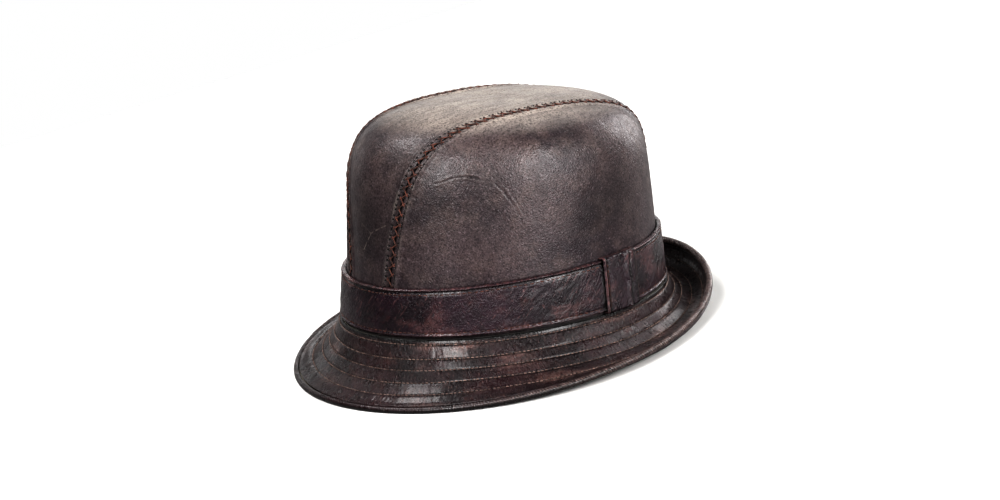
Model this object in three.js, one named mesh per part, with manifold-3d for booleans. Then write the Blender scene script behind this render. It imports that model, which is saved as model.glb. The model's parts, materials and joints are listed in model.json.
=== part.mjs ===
// A round-crowned leather hat with a short brim that dips at the front and curls up at the back.
// Lengths are in millimetres and angles in degrees unless a name says otherwise.
// The hat is drawn in the frame of the head opening: -Y is the front, +X the wearer's left, +Z up,
// and z = 0 is the plane where the crown meets the brim. Angles round the head start at the front
// and grow towards the wearer's left. The last lines lay the hat on a table, on its brim.
import * as THREE from 'three';
import { LoftGeometry } from 'three/addons/geometries/LoftGeometry.js';
import { mergeVertices } from 'three/addons/utils/BufferGeometryUtils.js';
import Module from 'manifold-3d';

const wasm = await Module();
wasm.setup();

// ---- driving dimensions ----

const crown = {
  front: 111.5,          // half length towards the front, outer face of the leather
  back: 96.2,            // half length towards the back
  side: 87.6,            // half width
  height: 128,
  widthPower: 0.545,     // smaller is a fuller top
  heightPower: 0.245,    // smaller is a straighter wall
  taper: 0.025,          // share of the width lost towards the top
  flare: 0.042,          // share of the width gained at the brim
  lean: 5.3,             // how far the top sits behind the base
  fall: 0.056,           // drop of the top per millimetre towards the back
};

const seam = {
  frontHalfWidth: 20,    // half width of the centre panel at the front of the brim
  backHalfWidth: 28,
  topHalfWidth: 44.4,
  spread: 1.9,           // how late the panel widens on its way up
  gap: 0.0025,           // half the gap between panels, in radians
};

// depth of each layer's outer face below the outer face of the crown, and its thickness
const layers = {
  leather: { depth: 0, thick: 1.2 },
  tape: { depth: 1.8, thick: 0.4 },
  interlining: { depth: 2.8, thick: 0.6 },
  lining: { depth: 4, thick: 0.4 },
  sweatband: { depth: 4.9, thick: 1.1 },
};

// five values each, at 0, 45, 90, 135 and 180 degrees from the front
const brim = {
  width: [49.5, 48.5, 47.5, 42, 42],
  rootSlope: [75, 59, 70, 75, 53],          // fall of the surface where it leaves the crown
  edgeSlope: [4, 11, -46, -95, -125],       // fall at the edge; below zero it curls upwards
  bend: 1.75,                               // how late the slope changes
  rootOffset: 2.8,                          // start of the brim outside the crown wall
  rows: [12, 19, 27, 35.7],                 // stitch rows, on a brim 48 wide
  nominalWidth: 48,
  joinRow: 3,
  leather: 0.8,
  stiffener: 0.5,
  gap: 0.3,
};

const bead = { radius: 2, leather: 0.8, mouthDegrees: 40, wireRadius: 0.5, grooveGap: 0.3 };

const band = {
  bottom: 1.5,
  top: 33.6,
  frontDrop: 2,          // how much lower the top edge is at the front than at the sides
  endRise: 0.6,
  inner: 0.8,            // offsets of its two faces outside the crown wall
  outer: 3.8,
  topRowInset: 4.5,
  bottomRowInset: 3.5,
  rowGap: 1,             // degrees between a stitch row and the keeper
  joint: 100,            // where its two ends meet, under the keeper
};

const keeper = {
  start: 92,
  end: 108.5,
  face: 4.3,             // offset of its inner face outside the crown wall
  thick: 1.4,
  lip: 0.7,              // thickness of its folds over the band's edges
  clearance: 0.4,
  rowAngle: 93.8,
  rowInset: 3,
};

const sweat = { bottom: 0.4, top: 36, reedRadius: 0.9, reedLevel: -1.3, rowLevel: 4, joint: 180 };
const backTab = { bottom: 7, top: 27, halfAngle: 4, gap: 0.4, thick: 0.7 };
const joinTape = { width: 2.8, top: -0.4, bottom: -1 };
const thread = { radius: 0.4, clearance: 0.6 };
const seamStitch = { halfWidth: 2, thick: 0.6, clearance: 0.35, aboveBand: 1 };
const seamTape = { halfWidth: 5, foot: 2 };
const footFlat = 0.35;      // depth of the flats pressed into the brim where it meets a table
const tableBlock = { side: 500, thick: 20 };
const jointGap = 0.3;       // half the gap between the two ends of a strap, in degrees
const lowestLining = 1.2;   // height of the linings' lower edge, in degrees up the dome
const liningSeam = 0.3;     // half the gap in the lining's seam, in degrees up the dome

// ---- facets ----

const AROUND = 36;          // round the head
const OVER = 24;            // over the crown from front to back
const PANEL_COLUMNS = 8;
const DOME_STEPS = 9;
const SHOULDER_SPLIT = 6;   // ring of facets where the lining's side meets its tip
const BRIM_STEPS = 7;
const KEEPER_STEPS = 6;
const BEAD_SIDES = { outer: 7, inner: 5 };
const REED_SIDES = 5;
const WIRE_SIDES = 4;
const THREAD_SIDES = 3;

const RAD = Math.PI / 180;
const steps = (count) => Array.from({ length: count + 1 }, (_, index) => index / count);
const lerp = THREE.MathUtils.lerp;

// The value between two limits up to which a test holds.
function bisect(low, high, holds) {
  while (high - low > 1e-7) {
    const middle = (low + high) / 2;
    if (holds(middle)) low = middle;
    else high = middle;
  }
  return (low + high) / 2;
}

// ---- materials ----

const finish = (color, roughness, metalness = 0) =>
  new THREE.MeshStandardMaterial({ color, roughness, metalness });

const materials = {
  crownLeather: finish(0x4a423f, 0.62),
  brimLeather: finish(0x3a2c29, 0.42),
  bandLeather: finish(0x2e2020, 0.38),
  edgeLeather: finish(0x4a332b, 0.4),
  thread: finish(0x5e3527, 0.75),
  darkThread: finish(0x1f1614, 0.8),
  tape: finish(0x2a2624, 0.9),
  interlining: finish(0x8b857a, 0.95),
  lining: finish(0x241e1f, 0.55),
  sweatband: finish(0x6d4a33, 0.5),
  stiffener: finish(0x55504a, 0.9),
  wire: finish(0x9a9a9a, 0.35, 1),
};

// ---- closed bodies ----

// Merges shared corners, drops triangles that have no area and turns the faces outwards.
function closedBody(geometry) {
  const bare = new THREE.BufferGeometry();
  bare.setAttribute('position', geometry.getAttribute('position'));
  bare.setIndex(geometry.index);
  const merged = mergeVertices(bare, 1e-4);
  const place = merged.getAttribute('position');
  const corners = [0, 1, 2].map(() => new THREE.Vector3());
  const kept = [];
  let volume = 0;
  for (let at = 0; at < merged.index.count; at += 3) {
    const [a, b, c] = [0, 1, 2].map((corner) => merged.index.getX(at + corner));
    if (a === b || b === c || c === a) continue;
    kept.push(a, b, c);
    [a, b, c].forEach((vertex, corner) => corners[corner].fromBufferAttribute(place, vertex));
    volume += corners[0].dot(corners[1].clone().cross(corners[2]));
  }
  merged.setIndex(volume < 0 ? kept.reverse() : kept);
  return merged;
}

// A body lofted through sections; without caps, the last section is the first one again.
// Caps only fit sections that run counterclockwise about the direction of the loft.
function loft(sections, capped = false) {
  const middle = (section) =>
    section.reduce((sum, point) => sum.add(point), new THREE.Vector3()).divideScalar(section.length);
  const [start, next] = sections.map(middle);
  const normal = new THREE.Vector3();
  sections[0].forEach((point, index) => {
    const following = sections[0][(index + 1) % sections[0].length];
    normal.add(point.clone().sub(start).cross(following.clone().sub(start)));
  });
  const backwards = normal.dot(next.sub(start)) < 0;
  const ordered = backwards ? sections.map((section) => section.toReversed()) : sections;
  return closedBody(new LoftGeometry(ordered, { capStart: capped, capEnd: capped }));
}

// A thick sheet from matching rows of points on its two faces. Both faces are split along the
// same diagonals, so that sheets a little apart stay apart where they twist.
function thickSheet(outer, inner, wraps) {
  const [lastRow, lastColumn] = [outer.length - 1, outer[0].length - 1];
  const points = [...outer.flat(), ...inner.flat()];
  const top = (row, column) => row * (lastColumn + 1) + column;
  const under = (row, column) => top(row, column) + points.length / 2;
  const faces = [];
  const quad = (a, b, c, d) => faces.push(a, b, d, b, c, d);
  for (let row = 0; row < lastRow; row += 1) {
    for (let column = 0; column < lastColumn; column += 1) {
      const corners = [[row, column], [row, column + 1], [row + 1, column + 1], [row + 1, column]];
      quad(...corners.map(([i, j]) => top(i, j)));
      const [a, b, c, d] = corners.map(([i, j]) => under(i, j));
      faces.push(a, d, b, b, d, c);
    }
    quad(top(row, 0), top(row + 1, 0), under(row + 1, 0), under(row, 0));
    quad(top(row + 1, lastColumn), top(row, lastColumn), under(row, lastColumn), under(row + 1, lastColumn));
  }
  for (let column = 0; !wraps && column < lastColumn; column += 1) {
    quad(top(0, column + 1), top(0, column), under(0, column), under(0, column + 1));
    quad(top(lastRow, column), top(lastRow, column + 1), under(lastRow, column + 1), under(lastRow, column));
  }
  const geometry = new THREE.BufferGeometry().setFromPoints(points);
  geometry.setIndex(faces);
  return closedBody(geometry);
}

// Angles round the head, once round.
const roundAngles = () => steps(AROUND).map((share) => 360 * (share % 1));

// A body all the way round the head: section(angle) lists the points of one closed section.
function ring(section) {
  return loft(roundAngles().map(section));
}

// A body part of the way round the head, on the same facets as a ring.
function strap(section, start, end) {
  const pitch = 360 / AROUND;
  const sliver = 0.1;
  const angles = [start];
  const first = Math.ceil(start / pitch + sliver) * pitch;
  for (let angle = first; angle < end - sliver * pitch; angle += pitch) {
    angles.push(angle);
  }
  return loft([...angles, end].map(section), true);
}

// A strap right round the head whose ends meet at an angle.
const closedStrap = (section, joint) => strap(section, joint + jointGap, joint + 360 - jointGap);

// The same body on the other side of the head.
const mirrored = (geometry) => closedBody(geometry.clone().scale(-1, 1, 1));

function subtract(geometry, tool) {
  const [body, cutter] = [geometry, tool].map((shape) => {
    const vertProperties = new Float32Array(shape.getAttribute('position').array);
    const triVerts = new Uint32Array(shape.index.array);
    return new wasm.Manifold(new wasm.Mesh({ numProp: 3, vertProperties, triVerts }));
  });
  const { vertProperties, triVerts } = body.subtract(cutter).getMesh();
  const result = new THREE.BufferGeometry();
  result.setAttribute('position', new THREE.BufferAttribute(vertProperties, 3));
  result.setIndex(new THREE.BufferAttribute(triVerts, 1));
  return result;
}

// ---- the crown ----

// Share of the full width and share of the full height at an angle up the crown's profile.
function profile(angle) {
  const rise = Math.pow(Math.sin(angle), crown.heightPower);
  const fullness = 1 - crown.taper * rise + crown.flare * Math.pow(1 - rise, 3);
  return { width: Math.pow(Math.max(Math.cos(angle), 0), crown.widthPower) * fullness, rise };
}

// The angle up the profile for an even climb over the dome. Half the climb goes by length and
// half by turning, so that facets are small on the tight bend between wall and top.
const climb = (() => {
  const samples = 600;
  const crowding = 4;         // the samples crowd together at the foot of the wall
  const halfLength = 100;     // a round figure that weighs width against height
  const angles = steps(samples).map((share) => (Math.PI / 2) * Math.pow(share, crowding));
  const points = angles.map((angle) => {
    const { width, rise } = profile(angle);
    return new THREE.Vector2(halfLength * width, crown.height * rise);
  });
  const legs = points.slice(1).map((point, index) => point.clone().sub(points[index]));
  const turns = legs.map((leg, index) => (index ? Math.abs(leg.angleTo(legs[index - 1])) : 0));
  const total = (values) => values.reduce((sum, value) => sum + value, 0);
  const length = total(legs.map((leg) => leg.length()));
  const turning = total(turns);
  let done = 0;
  const climbed = [0, ...legs.map((leg, index) => {
    done += 0.5 * leg.length() / length + 0.5 * turns[index] / turning;
    return done;
  })];
  return (share) => {
    const next = Math.max(1, climbed.findIndex((value) => value >= Math.min(share, done)));
    const part = (share - climbed[next - 1]) / (climbed[next] - climbed[next - 1]);
    return lerp(angles[next - 1], angles[next], THREE.MathUtils.clamp(part, 0, 1));
  };
})();

// Outer surface of the crown in a direction from its centre.
function crownSurface(direction) {
  const around = Math.atan2(direction.x, -direction.y);
  const { width, rise } = profile(climb(Math.asin(Math.min(direction.z, 1)) / (Math.PI / 2)));
  const halfLength = Math.cos(around) > 0 ? crown.front : crown.back;
  const y = -halfLength * width * Math.cos(around);
  const point = new THREE.Vector3(
    crown.side * width * Math.sin(around),
    y + crown.lean * rise,
    rise * (crown.height - crown.fall * y),
  );
  point.rise = rise;
  return point;
}

// A point a given depth below the outer surface.
function crownPoint(direction, depth) {
  const step = 1e-3;
  const level = new THREE.Vector3(-direction.y, direction.x, 0);
  if (level.length() < step) level.set(1, 0, 0);
  level.normalize();
  const upward = new THREE.Vector3().crossVectors(level, direction).multiplyScalar(-1);
  if (upward.z < 0) upward.negate();
  const surface = crownSurface(direction);
  const moved = (tangent) => {
    const beside = direction.clone().addScaledVector(tangent, step).normalize();
    return crownSurface(beside).sub(surface);
  };
  const normal = moved(level).cross(moved(upward)).normalize();
  const fromInside = surface.clone().setZ(surface.z - crown.height / 3);
  if (normal.dot(fromInside) < 0) normal.negate();
  return surface.addScaledVector(normal, -depth);
}

// Direction by an angle over the head from front to back, and one from the middle to the left.
function overHead(over, across) {
  return new THREE.Vector3(
    Math.sin(across),
    -Math.cos(over) * Math.cos(across),
    Math.max(Math.sin(over) * Math.cos(across), 0),
  );
}

// Direction by an angle round the head and one up from the brim.
function roundHead(around, up) {
  return new THREE.Vector3(
    Math.sin(around) * Math.cos(up),
    -Math.cos(around) * Math.cos(up),
    Math.sin(up),
  );
}

// Where the left seam lies at an angle over the head.
function seamAcross(over) {
  const baseHalfWidth = lerp(seam.frontHalfWidth, seam.backHalfWidth, (1 - Math.cos(over)) / 2);
  return bisect(0, Math.PI / 2, (across) => {
    const point = crownSurface(overHead(over, across));
    return point.x < lerp(baseHalfWidth, seam.topHalfWidth, Math.pow(point.rise, seam.spread));
  });
}

// A sheet over the crown between two angles across, from one angle over the head to another.
function crownSheet(from, to, columns, { depth, thick }, start = 0, end = Math.PI) {
  const face = (below) => steps(OVER).map((share) => {
    const over = lerp(start, end, share);
    const [right, left] = [from(over), to(over)];
    return steps(columns).map((part) => crownPoint(overHead(over, lerp(right, left, part)), below));
  });
  return thickSheet(face(depth), face(depth + thick), false);
}

const besideSeam = (shift) => (over) => seamAcross(over) + shift;

function centrePanel() {
  const left = besideSeam(-seam.gap);
  return crownSheet((over) => -left(over), left, PANEL_COLUMNS, layers.leather);
}

const leftPanel = () => crownSheet(besideSeam(seam.gap), () => Math.PI / 2, PANEL_COLUMNS, layers.leather);

// The angle over the head where the left seam reaches a height, near the front or the back.
function overAtHeight(height, atFront) {
  const overAt = (climbed) => (atFront ? climbed : Math.PI - climbed);
  return overAt(bisect(0, Math.PI / 2, (climbed) => {
    const over = overAt(climbed);
    return crownSurface(overHead(over, seamAcross(over))).z < height;
  }));
}

// A strip that follows the left seam, from one height above the brim round to another.
function seamStrip(halfWidth, layer, frontHeight, backHeight) {
  const nudge = 0.01;
  const edge = (offset) => (over) => {
    const middle = crownSurface(overHead(over, seamAcross(over)));
    const beside = crownSurface(overHead(over, seamAcross(over) + nudge));
    return seamAcross(over) + offset * nudge / middle.distanceTo(beside);
  };
  return crownSheet(edge(-halfWidth), edge(halfWidth), 1, layer,
    overAtHeight(frontHeight, true), overAtHeight(backHeight, false));
}

// A dome between two rings of facets, short of each ring by a trim in degrees.
function dome(first, last, { depth, thick }, trimBottom = 0, trimTop = 0) {
  const shares = steps(DOME_STEPS).slice(first, last + 1);
  const levels = shares.map((share) => lerp(lowestLining, 90, share) * RAD);
  levels[0] += trimBottom * RAD;
  levels[levels.length - 1] -= trimTop * RAD;
  const face = (below) =>
    roundAngles().map((angle) => levels.map((up) => crownPoint(roundHead(angle * RAD, up), below)));
  return thickSheet(face(depth), face(depth + thick), true);
}

// ---- round the wall ----

// Outward normal of the crown's base outline, seen from above.
function wallNormal(angle) {
  const halfLength = Math.cos(angle * RAD) > 0 ? crown.front : crown.back;
  const along = -crown.side * Math.cos(angle * RAD);
  return new THREE.Vector3(halfLength * Math.sin(angle * RAD), along, 0).normalize();
}

// A point beside the wall, at a height above the brim and an offset outside the leather.
function wallPoint(angle, height, offset) {
  const rise = Math.max(height, 0) / crown.height;
  const { width } = profile(Math.asin(Math.pow(rise, 1 / crown.heightPower)));
  const halfLength = Math.cos(angle * RAD) > 0 ? crown.front : crown.back;
  const point = new THREE.Vector3(
    crown.side * width * Math.sin(angle * RAD),
    crown.lean * rise - halfLength * width * Math.cos(angle * RAD),
    height,
  );
  return point.addScaledVector(wallNormal(angle), offset);
}

// A section listed as pairs of offset and height.
const wallSection = (angle, pairs) => pairs.map(([offset, height]) => wallPoint(angle, height, offset));

const bandTop = (angle) =>
  band.top - band.frontDrop * Math.cos(angle * RAD) - band.endRise * Math.cos(2 * angle * RAD);

function bandSection(angle) {
  const middle = (band.bottom + bandTop(angle)) / 2;
  return wallSection(angle, [
    [band.inner, band.bottom], [band.outer, band.bottom], [band.outer, middle],
    [band.outer, bandTop(angle)], [band.inner, bandTop(angle)], [band.inner, middle],
  ]);
}

function keeperSection(angle) {
  const top = bandTop(angle) + keeper.clearance;
  const bottom = band.bottom - keeper.clearance;
  const outer = keeper.face + keeper.thick;
  return wallSection(angle, [
    [band.inner, bottom - keeper.lip], [outer, bottom - keeper.lip],
    [outer, top + keeper.lip], [band.inner, top + keeper.lip],
    [band.inner, top], [keeper.face, top], [keeper.face, bottom], [band.inner, bottom],
  ]);
}

function sweatbandSection(angle) {
  const outer = -layers.sweatband.depth;
  const inner = outer - layers.sweatband.thick;
  const middle = (sweat.bottom + sweat.top) / 2;
  return wallSection(angle, [
    [inner, sweat.bottom], [outer, sweat.bottom], [outer, middle],
    [outer, sweat.top], [inner, sweat.top], [inner, middle],
  ]);
}

// Pairs on an arc between two angles.
const arc = (radius, start, end, count) =>
  steps(count).map((share) => [
    radius * Math.cos(lerp(start, end, share) * RAD),
    radius * Math.sin(lerp(start, end, share) * RAD),
  ]);

const roundPairs = (radius, sides) => arc(radius, 0, 360, sides).slice(1);

// A section with a number of sides about a point beside the wall.
function wallRound(angle, height, offset, radius, sides) {
  return wallSection(angle, roundPairs(radius, sides).map(([out, up]) => [offset + out, height + up]));
}

const threadOutside = (face) => face + thread.clearance + thread.radius;

// A stitch row on the hat band; it starts and ends beside the keeper.
function bandRow(height) {
  const offset = threadOutside(band.outer);
  const section = (angle) => wallRound(angle, height(angle), offset, thread.radius, THREAD_SIDES);
  return strap(section, keeper.end + band.rowGap, keeper.start + 360 - band.rowGap);
}

// The line of stitches beside the keeper's front edge.
function keeperRow() {
  const angle = keeper.rowAngle;
  const face = threadOutside(keeper.face + keeper.thick);
  const [low, high] = [band.bottom + keeper.rowInset, bandTop(angle) - keeper.rowInset];
  const heights = steps(4).map((share) => lerp(low, high, share));
  const along = new THREE.Vector3(0, 0, 1).cross(wallNormal(angle));
  return loft(heights.map((height) => roundPairs(thread.radius, THREAD_SIDES).map(([out, aside]) =>
    wallPoint(angle, height, face + out).addScaledVector(along, aside))), true);
}

// ---- the brim ----

// A smooth value round the hat through five values, the same on the left and on the right.
function aroundBrim(values, angle) {
  const last = values.length - 1;
  const share = (index) => (index === 0 || index === last ? 0.5 : 1);
  let value = 0;
  for (let wave = 0; wave <= last; wave += 1) {
    let strength = 0;
    values.forEach((given, index) => {
      strength += share(index) * given * Math.cos(Math.PI * wave * index / last);
    });
    value += share(wave) * strength * Math.cos(wave * angle * RAD) * 2 / last;
  }
  return value;
}

// A point of the brim: angle round the head, share of the width, depth below the top face.
function brimPoint(angle, share, depth) {
  const legs = 24;
  const width = aroundBrim(brim.width, angle);
  const rootSlope = aroundBrim(brim.rootSlope, angle) * RAD;
  const edgeSlope = aroundBrim(brim.edgeSlope, angle) * RAD;
  const slope = (part) => lerp(rootSlope, edgeSlope, Math.pow(part, brim.bend));
  const outward = wallNormal(angle);
  const point = wallPoint(angle, 0, brim.rootOffset);
  for (let leg = 0; leg < legs; leg += 1) {
    const middle = slope(share * (leg + 0.5) / legs);
    point.addScaledVector(outward, Math.cos(middle) * share * width / legs);
    point.z -= Math.sin(middle) * share * width / legs;
  }
  const tilt = slope(share);
  point.addScaledVector(outward, -depth * Math.sin(tilt));
  point.z -= depth * Math.cos(tilt);
  return point;
}

const stiffenerDepth = brim.leather + brim.gap;
const undersideDepth = stiffenerDepth + brim.stiffener + brim.gap;
const beadDepth = (undersideDepth + brim.leather) / 2;

// A layer of the brim. All layers share the facets that end beside the edge bead, and the
// stiffener has one more that reaches into the bead.
function brimLayer(depth, thick, reachesIn = false) {
  const face = (below) => roundAngles().map((angle) => {
    const width = aroundBrim(brim.width, angle);
    const reach = 1 - (bead.radius + bead.grooveGap) / width;
    const shares = steps(BRIM_STEPS).map((share) => share * reach);
    if (reachesIn) shares.push(1 - (bead.wireRadius + brim.gap) / width);
    return shares.map((share) => brimPoint(angle, share, below));
  });
  return thickSheet(face(depth), face(depth + thick), true);
}

// A section about a point of the brim, listed as pairs of outward and upward offsets.
function brimSection(angle, share, depth, pairs) {
  const centre = brimPoint(angle, share, depth);
  const upward = brimPoint(angle, share, depth - 1).sub(centre);
  const normal = wallNormal(angle);
  const outward = normal.clone().multiplyScalar(upward.z).setZ(-upward.dot(normal));
  return pairs.map(([out, up]) => centre.clone().addScaledVector(outward, out).addScaledVector(upward, up));
}

// The bead is a strip of leather rolled round the edge, open towards the crown for the stiffener.
function beadBody() {
  const open = 180 - bead.mouthDegrees;
  const outer = arc(bead.radius, -open, open, BEAD_SIDES.outer);
  const inner = arc(bead.radius - bead.leather, open, -open, BEAD_SIDES.inner);
  return ring((angle) => brimSection(angle, 1, beadDepth, [...outer, ...inner]));
}

function brimRow(distance) {
  const share = distance / brim.nominalWidth;
  const pairs = roundPairs(thread.radius, THREAD_SIDES);
  return ring((angle) => brimSection(angle, share, -threadOutside(0), pairs));
}

// ---- the hat lies on its brim ----

// Leaning back, the hat rests on the front of the brim and on the low bellies of its two sides:
// the tilt is the one at which the brim is as low ahead of the head as it is behind the middle.
function restTilt() {
  const looks = 90;
  const underneath = steps(looks).flatMap((around) => steps(BRIM_STEPS).map((share) => {
    const lowest = share < 1 ? undersideDepth + brim.leather : beadDepth + bead.radius;
    return brimPoint(180 * around, share, lowest);
  }));
  const height = (points, tilt) =>
    Math.min(...points.map((point) => point.z * Math.cos(tilt) - point.y * Math.sin(tilt)));
  const front = underneath.filter((point) => point.y < 0);
  const back = underneath.filter((point) => point.y >= 0);
  const steepest = 20 * RAD;
  return bisect(0, steepest, (tilt) => height(front, tilt) < height(back, tilt));
}

// ---- assembly ----

const hat = new THREE.Group();
const table = new THREE.Group();

function add(name, geometry, material, group = hat) {
  const mesh = new THREE.Mesh(geometry, material);
  mesh.name = name;
  group.add(mesh);
  return mesh;
}

// A piece on the left of the crown and its mirror image on the right.
function addPair(name, geometry, material) {
  add(name.replace('SIDE', 'left'), geometry, material);
  add(name.replace('SIDE', 'right'), mirrored(geometry), material);
}

add('crown_centre_panel', centrePanel(), materials.crownLeather);
addPair('crown_SIDE_panel', leftPanel(), materials.crownLeather);
const stitchLayer = { depth: -seamStitch.clearance - seamStitch.thick, thick: seamStitch.thick };
const [frontEnd, backEnd] = [0, 180].map((angle) => bandTop(angle) + seamStitch.aboveBand);
const stitchStrip = seamStrip(seamStitch.halfWidth, stitchLayer, frontEnd, backEnd);
const tapeStrip = seamStrip(seamTape.halfWidth, layers.tape, seamTape.foot, seamTape.foot);
addPair('SIDE_seam_stitching', stitchStrip, materials.thread);
addPair('SIDE_seam_tape', tapeStrip, materials.tape);
add('crown_interlining', dome(0, DOME_STEPS, layers.interlining), materials.interlining);
add('lining_side', dome(0, SHOULDER_SPLIT, layers.lining, 0, liningSeam), materials.lining);
add('lining_tip', dome(SHOULDER_SPLIT, DOME_STEPS, layers.lining, liningSeam), materials.lining);

const joinSection = (angle) => wallSection(angle, [
  [-joinTape.width, joinTape.bottom],
  [0, joinTape.bottom],
  [0, joinTape.top],
  [-joinTape.width, joinTape.top],
]);
add('brim_join_tape', ring(joinSection), materials.tape);
add('hat_band', closedStrap(bandSection, band.joint), materials.bandLeather);
const keeperAngles = steps(KEEPER_STEPS).map((share) => lerp(keeper.start, keeper.end, share));
add('band_keeper', loft(keeperAngles.map(keeperSection), true), materials.bandLeather);
add('band_top_stitching', bandRow((angle) => bandTop(angle) - band.topRowInset), materials.thread);
add('band_bottom_stitching', bandRow(() => band.bottom + band.bottomRowInset), materials.thread);
add('keeper_stitching', keeperRow(), materials.thread);

add('brim_top', brimLayer(0, brim.leather), materials.brimLeather);
add('brim_stiffener', brimLayer(stiffenerDepth, brim.stiffener, true), materials.stiffener);
const wirePairs = roundPairs(bead.wireRadius, WIRE_SIDES);
add('brim_edge_wire', ring((angle) => brimSection(angle, 1, beadDepth, wirePairs)), materials.wire);
add('brim_join_stitching', brimRow(brim.joinRow), materials.darkThread);
brim.rows.forEach((distance, index) => {
  add(`brim_stitch_row_${index + 1}`, brimRow(distance), materials.darkThread);
});

add('sweatband', closedStrap(sweatbandSection, sweat.joint), materials.sweatband);
const sweatFace = -layers.sweatband.depth - layers.sweatband.thick;
const reedOffset = -layers.sweatband.depth - layers.sweatband.thick / 2;
const reedSection = (angle) => wallRound(angle, sweat.reedLevel, reedOffset, sweat.reedRadius, REED_SIDES);
add('sweatband_reed', ring(reedSection), materials.sweatband);
const sweatRowOffset = -threadOutside(-sweatFace);
const sweatRow = (angle) => wallRound(angle, sweat.rowLevel, sweatRowOffset, thread.radius, THREAD_SIDES);
add('sweatband_stitching', ring(sweatRow), materials.thread);

function tabSection(angle) {
  const outer = sweatFace - backTab.gap;
  const inner = outer - backTab.thick;
  return wallSection(angle, [
    [inner, backTab.bottom], [outer, backTab.bottom], [outer, backTab.top], [inner, backTab.top],
  ]);
}

const tabAngles = [-1, 0, 1].map((side) => sweat.joint + side * backTab.halfAngle);
add('sweatband_back_tab', loft(tabAngles.map(tabSection), true), materials.sweatband);

// The leather that touches the table is cut flat there, so it is made in the pose at rest.
const tilt = restTilt();
const underside = brimLayer(undersideDepth, brim.leather).rotateX(-tilt);
const binding = beadBody().rotateX(-tilt);
[underside, binding].forEach((geometry) => geometry.computeBoundingBox());
const tableLevel = Math.min(underside.boundingBox.min.z, binding.boundingBox.min.z) + footFlat;
const block = new THREE.BoxGeometry(tableBlock.side, tableBlock.side, tableBlock.thick);
const tableTop = closedBody(block.translate(0, 0, tableLevel - tableBlock.thick / 2));
add('brim_underside', subtract(underside, tableTop), materials.brimLeather, table);
add('brim_edge_binding', subtract(binding, tableTop), materials.edgeLeather, table);

hat.rotation.x = -tilt;
table.add(hat);
const extent = new THREE.Box3().setFromObject(table, true);
table.position.set(0, -(extent.min.y + extent.max.y) / 2, -tableLevel);

export default table;
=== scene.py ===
"""The looks of a round-crowned leather hat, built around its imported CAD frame.

Lengths here are millimetres in the frame of the head opening: -Y is the front, +X the wearer's
left, +Z up, and z = 0 is the plane where crown and brim meet. Angles round the head are degrees
from the front towards the wearer's left. to_row() takes such points to the frame's metres.
"""
import json
import math

import bmesh
import bpy
import numpy as np
from mathutils import Matrix, Vector


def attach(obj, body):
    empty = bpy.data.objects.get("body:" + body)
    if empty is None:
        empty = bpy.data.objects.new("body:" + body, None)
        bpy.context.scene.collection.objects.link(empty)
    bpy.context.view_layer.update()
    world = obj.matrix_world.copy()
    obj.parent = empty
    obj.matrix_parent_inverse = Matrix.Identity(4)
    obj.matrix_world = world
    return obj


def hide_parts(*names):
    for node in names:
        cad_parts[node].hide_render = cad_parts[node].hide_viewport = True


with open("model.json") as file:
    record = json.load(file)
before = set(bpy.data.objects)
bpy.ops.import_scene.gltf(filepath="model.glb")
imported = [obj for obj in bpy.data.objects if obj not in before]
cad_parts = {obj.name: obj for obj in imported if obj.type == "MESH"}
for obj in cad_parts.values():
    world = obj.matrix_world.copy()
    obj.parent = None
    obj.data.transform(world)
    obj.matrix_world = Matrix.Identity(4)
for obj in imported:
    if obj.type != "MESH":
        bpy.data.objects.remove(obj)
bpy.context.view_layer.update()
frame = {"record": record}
BODY = "root"

# ---- dimensions, as in the CAD ----

# The crown's half lengths, half width and height, the powers and shares that shape its profile,
# and how far it leans back and falls towards its back.
FRONT, BACK, SIDE, HEIGHT = 111.5, 96.2, 87.6, 128.0
WIDTH_POWER, HEIGHT_POWER = 0.545, 0.245
TAPER, FLARE, LEAN, FALL = 0.025, 0.042, 5.3, 0.056
# How far the seams lie from the middle at the brim in front and behind and at the top, and the
# power by which they spread on the way up.
SEAM_FRONT, SEAM_BACK, SEAM_TOP, SEAM_SPREAD = 20.0, 28.0, 44.4, 1.9
# The crown's layers. A depth is from the leather's outer face; the lining's ends are in degrees.
LEATHER = 1.2
TAPE_DEPTH, TAPE_THICK, TAPE_HALF_WIDTH, TAPE_FOOT = 1.8, 0.4, 5.0, 2.0
INTERLINING_DEPTH, INTERLINING_THICK = 2.8, 0.6
LINING_DEPTH, LINING_THICK, LINING_GAP, LOWEST_LINING = 4.0, 0.4, 0.3, 1.2
LINING_SEAM = LOWEST_LINING + (90 - LOWEST_LINING) * 2 / 3

# The brim's width and its slopes at root and edge in degrees, at five places from front to back.
BRIM_WIDTH = [49.5, 48.5, 47.5, 42.0, 42.0]
ROOT_SLOPE = [75.0, 59.0, 70.0, 75.0, 53.0]
EDGE_SLOPE = [4.0, 11.0, -46.0, -95.0, -125.0]
BRIM_BEND, BRIM_LEGS, ROOT_OFFSET, NOMINAL_WIDTH = 1.75, 24, 2.8, 48.0
# Distances of the rows of stitches from the brim's root.
JOIN_ROW, BRIM_ROWS = 3.0, [12.0, 19.0, 27.0, 35.7]
BRIM_LEATHER, STIFFENER, LAYER_GAP = 0.8, 0.5, 0.3
STIFFENER_DEPTH = BRIM_LEATHER + LAYER_GAP
UNDER_DEPTH = STIFFENER_DEPTH + STIFFENER + LAYER_GAP
BEAD_DEPTH = (UNDER_DEPTH + BRIM_LEATHER) / 2
BEAD_RADIUS, BEAD_LEATHER, BEAD_MOUTH, WIRE_RADIUS = 2.0, 0.8, 40.0, 0.5
JOIN_TAPE_WIDTH, JOIN_TAPE_BOTTOM, JOIN_TAPE_TOP = 2.8, -1.0, -0.4

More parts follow.
